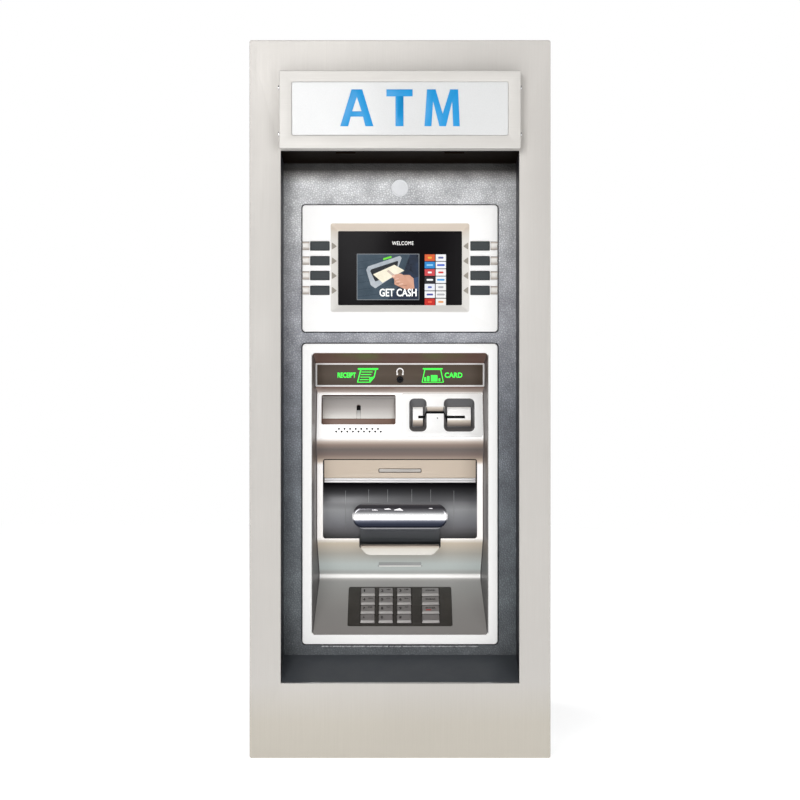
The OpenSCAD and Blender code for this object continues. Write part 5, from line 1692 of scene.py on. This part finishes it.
class CASH_MACHINE_OT_inside(bpy.types.Operator):
    """Printer, paper roll, card reader, dispenser, cassette, computer and lamp"""
    bl_idname = "cash_machine.inside"
    bl_label = "Inside parts"

    def execute(self, context):
        grey = finish("Machine grey", (0.11, 0.115, 0.12), 0.45, 0.2, cloud=9, vary=0.4,
                      speck=1100, bump=0.06, wear=(0.28, 0.28, 0.28))
        zinc = finish("Galvanised sheet", (0.47, 0.48, 0.49), 0.38, 0.85, cloud=38, vary=0.6,
                      other=(0.34, 0.35, 0.37), rough_swing=0.14, speck=700, bump=0.05)
        blue = finish("Cassette plastic", (0.035, 0.045, 0.07), 0.38, cloud=14, vary=0.3,
                      speck=1200, bump=0.06, wear=(0.12, 0.13, 0.15))
        black = finish("Computer case", (0.022, 0.022, 0.024), 0.42, 0.3, cloud=10, vary=0.4,
                       speck=1500, bump=0.08, dust=0.15)
        paper = finish("Paper", (0.82, 0.81, 0.78), 0.75, cloud=20, vary=0.1,
                       grain=(4, 2500, 2500), bump=0.04)
        board = finish("Lamp board", (0.70, 0.72, 0.68), 0.4, cloud=60, vary=0.3, speck=1300,
                       bump=0.03, glow=0.2)
        dressed(["receipt_printer", "card_reader"], grey, 0.6)
        dressed(["dispenser"], zinc, 0.4)
        dressed(["cassette"], blue, 0.9)
        dressed(["computer"], black, 0.7)
        dressed(["paper_roll"], paper, 0.4)
        dressed(["sign_lamp"], board, 0.3)
        low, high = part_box("computer")
        y = high.y / MM
        ports = []
        for n in range(6):
            x = low.x / MM + 22 + 24 * n
            w, h = ((15, 12), (13, 6), (17, 7))[n % 3]
            ports.append(panel("port", [rect(w, h, 1, x, 778), rect(w - 3, h - 3, 0.5, x, 778)],
                               y - 0.5, y + 1.2, 0.3))
        fitted(joined("computer_ports", ports), zinc)
        return {"FINISHED"}


# ---- stage ----

class CASH_MACHINE_OT_stage(bpy.types.Operator):
    """Pale floor, white surroundings, soft lights and the camera"""
    bl_idname = "cash_machine.stage"
    bl_label = "Stage"

    def execute(self, context):
        scene = context.scene
        stage = scene.machine_stage
        floor = flat_shape("floor", [rect(12000, 12000, 3000)], 20, 0)
        moved(floor, 0, 0, -10)
        painted(floor, finish("Floor", stage.floor, 0.7, cloud=0.8, vary=0.05, speck=300,
                              bump=0.01, specular=0.1, glow=0.79))
        self.surroundings(scene)
        self.light("key_light", (-0.9, -3.9, 1.55), (0, -0.25, 0.62), 1.3, stage.key_power)
        self.light("fill_light", (1.5, -3.6, 0.9), (0, -0.25, 0.6), 1.3, stage.key_power * 0.42)
        self.light("rear_light", (-1.8, 2.6, 2.0), (0, 0.2, 0.6), 1.6, stage.key_power * 0.6)
        camera = bpy.data.objects.new("camera_front", bpy.data.cameras.new("camera_front"))
        scene.collection.objects.link(camera)
        camera.data.lens = stage.lens
        camera.data.sensor_width = 36
        camera.location = (0, FRONT * MM - stage.camera_distance, stage.camera_height)
        camera.rotation_euler = (math.radians(90), 0, 0)
        camera.data.clip_end = 60
        scene.camera = camera
        scene.view_settings.view_transform = "Standard"
        return {"FINISHED"}

    def light(self, name, place, target, size, power):
        lamp = bpy.data.lights.new(name, "AREA")
        lamp.shape = "DISK"
        lamp.size = size
        lamp.energy = power
        obj = bpy.data.objects.new(name, lamp)
        bpy.context.scene.collection.objects.link(obj)
        obj.location = place
        obj.rotation_euler = (Vector(target) - Vector(place)).to_track_quat("-Z", "Y").to_euler()

    def surroundings(self, scene):
        """White to the camera, and a little dimmer as light on the object."""
        world = bpy.data.worlds.new("Surroundings")
        scene.world = world
        world.use_nodes = True
        tree = world.node_tree
        back = tree.nodes["Background"]
        back.inputs["Color"].default_value = (1, 1, 1, 1)
        seen = node(tree, "ShaderNodeLightPath").outputs["Is Camera Ray"]
        tree.links.new(ranged(tree, seen, 0, 1, 0.29, 1.0), back.inputs["Strength"])


# ---- add-on ----

class CASH_MACHINE_PT_panel(bpy.types.Panel):
    """Lists the machine's pieces in the order in which they are made"""
    bl_label = "Cash machine"
    bl_idname = "CASH_MACHINE_PT_panel"
    bl_space_type = "VIEW_3D"
    bl_region_type = "UI"
    bl_category = "Cash machine"

    def draw(self, context):
        column = self.layout.column(align=True)
        for operator in OPERATORS:
            column.operator(operator.bl_idname, text=operator.bl_label)
        for pointer, (settings, _) in SETTINGS.items():
            box = self.layout.box()
            box.label(text=settings.__doc__)
            for name in settings.__annotations__:
                box.prop(getattr(context.scene, pointer), name)


OPERATORS = (
    CASH_MACHINE_OT_surround, CASH_MACHINE_OT_sign, CASH_MACHINE_OT_recess,
    CASH_MACHINE_OT_screen, CASH_MACHINE_OT_soft_keys, CASH_MACHINE_OT_fascia,
    CASH_MACHINE_OT_header, CASH_MACHINE_OT_receipt, CASH_MACHINE_OT_card_slot,
    CASH_MACHINE_OT_outlet, CASH_MACHINE_OT_keypad, CASH_MACHINE_OT_cabinet,
    CASH_MACHINE_OT_safe, CASH_MACHINE_OT_inside, CASH_MACHINE_OT_stage)
SETTINGS = {
    "machine_metal": (MetalSettings, "Steel, sign and recess"),
    "machine_fascia": (FasciaSettings, "Fascia"),
    "machine_cabinet": (CabinetSettings, "Cabinet and safe"),
    "machine_stage": (StageSettings, "Stage"),
}


def register():
    for name, (settings, title) in SETTINGS.items():
        bpy.utils.register_class(settings)
        setattr(bpy.types.Scene, name, PointerProperty(type=settings, name=title))
    for cls in OPERATORS:
        bpy.utils.register_class(cls)
    bpy.utils.register_class(CASH_MACHINE_PT_panel)


def unregister():
    bpy.utils.unregister_class(CASH_MACHINE_PT_panel)
    for cls in reversed(OPERATORS):
        bpy.utils.unregister_class(cls)
    for name, (settings, _) in SETTINGS.items():
        delattr(bpy.types.Scene, name)
        bpy.utils.unregister_class(settings)


def main():
    register()
    for operator in OPERATORS:
        name = operator.bl_idname.split(".")[1]
        getattr(bpy.ops.cash_machine, name)()


if __name__ == "__main__":
    main()
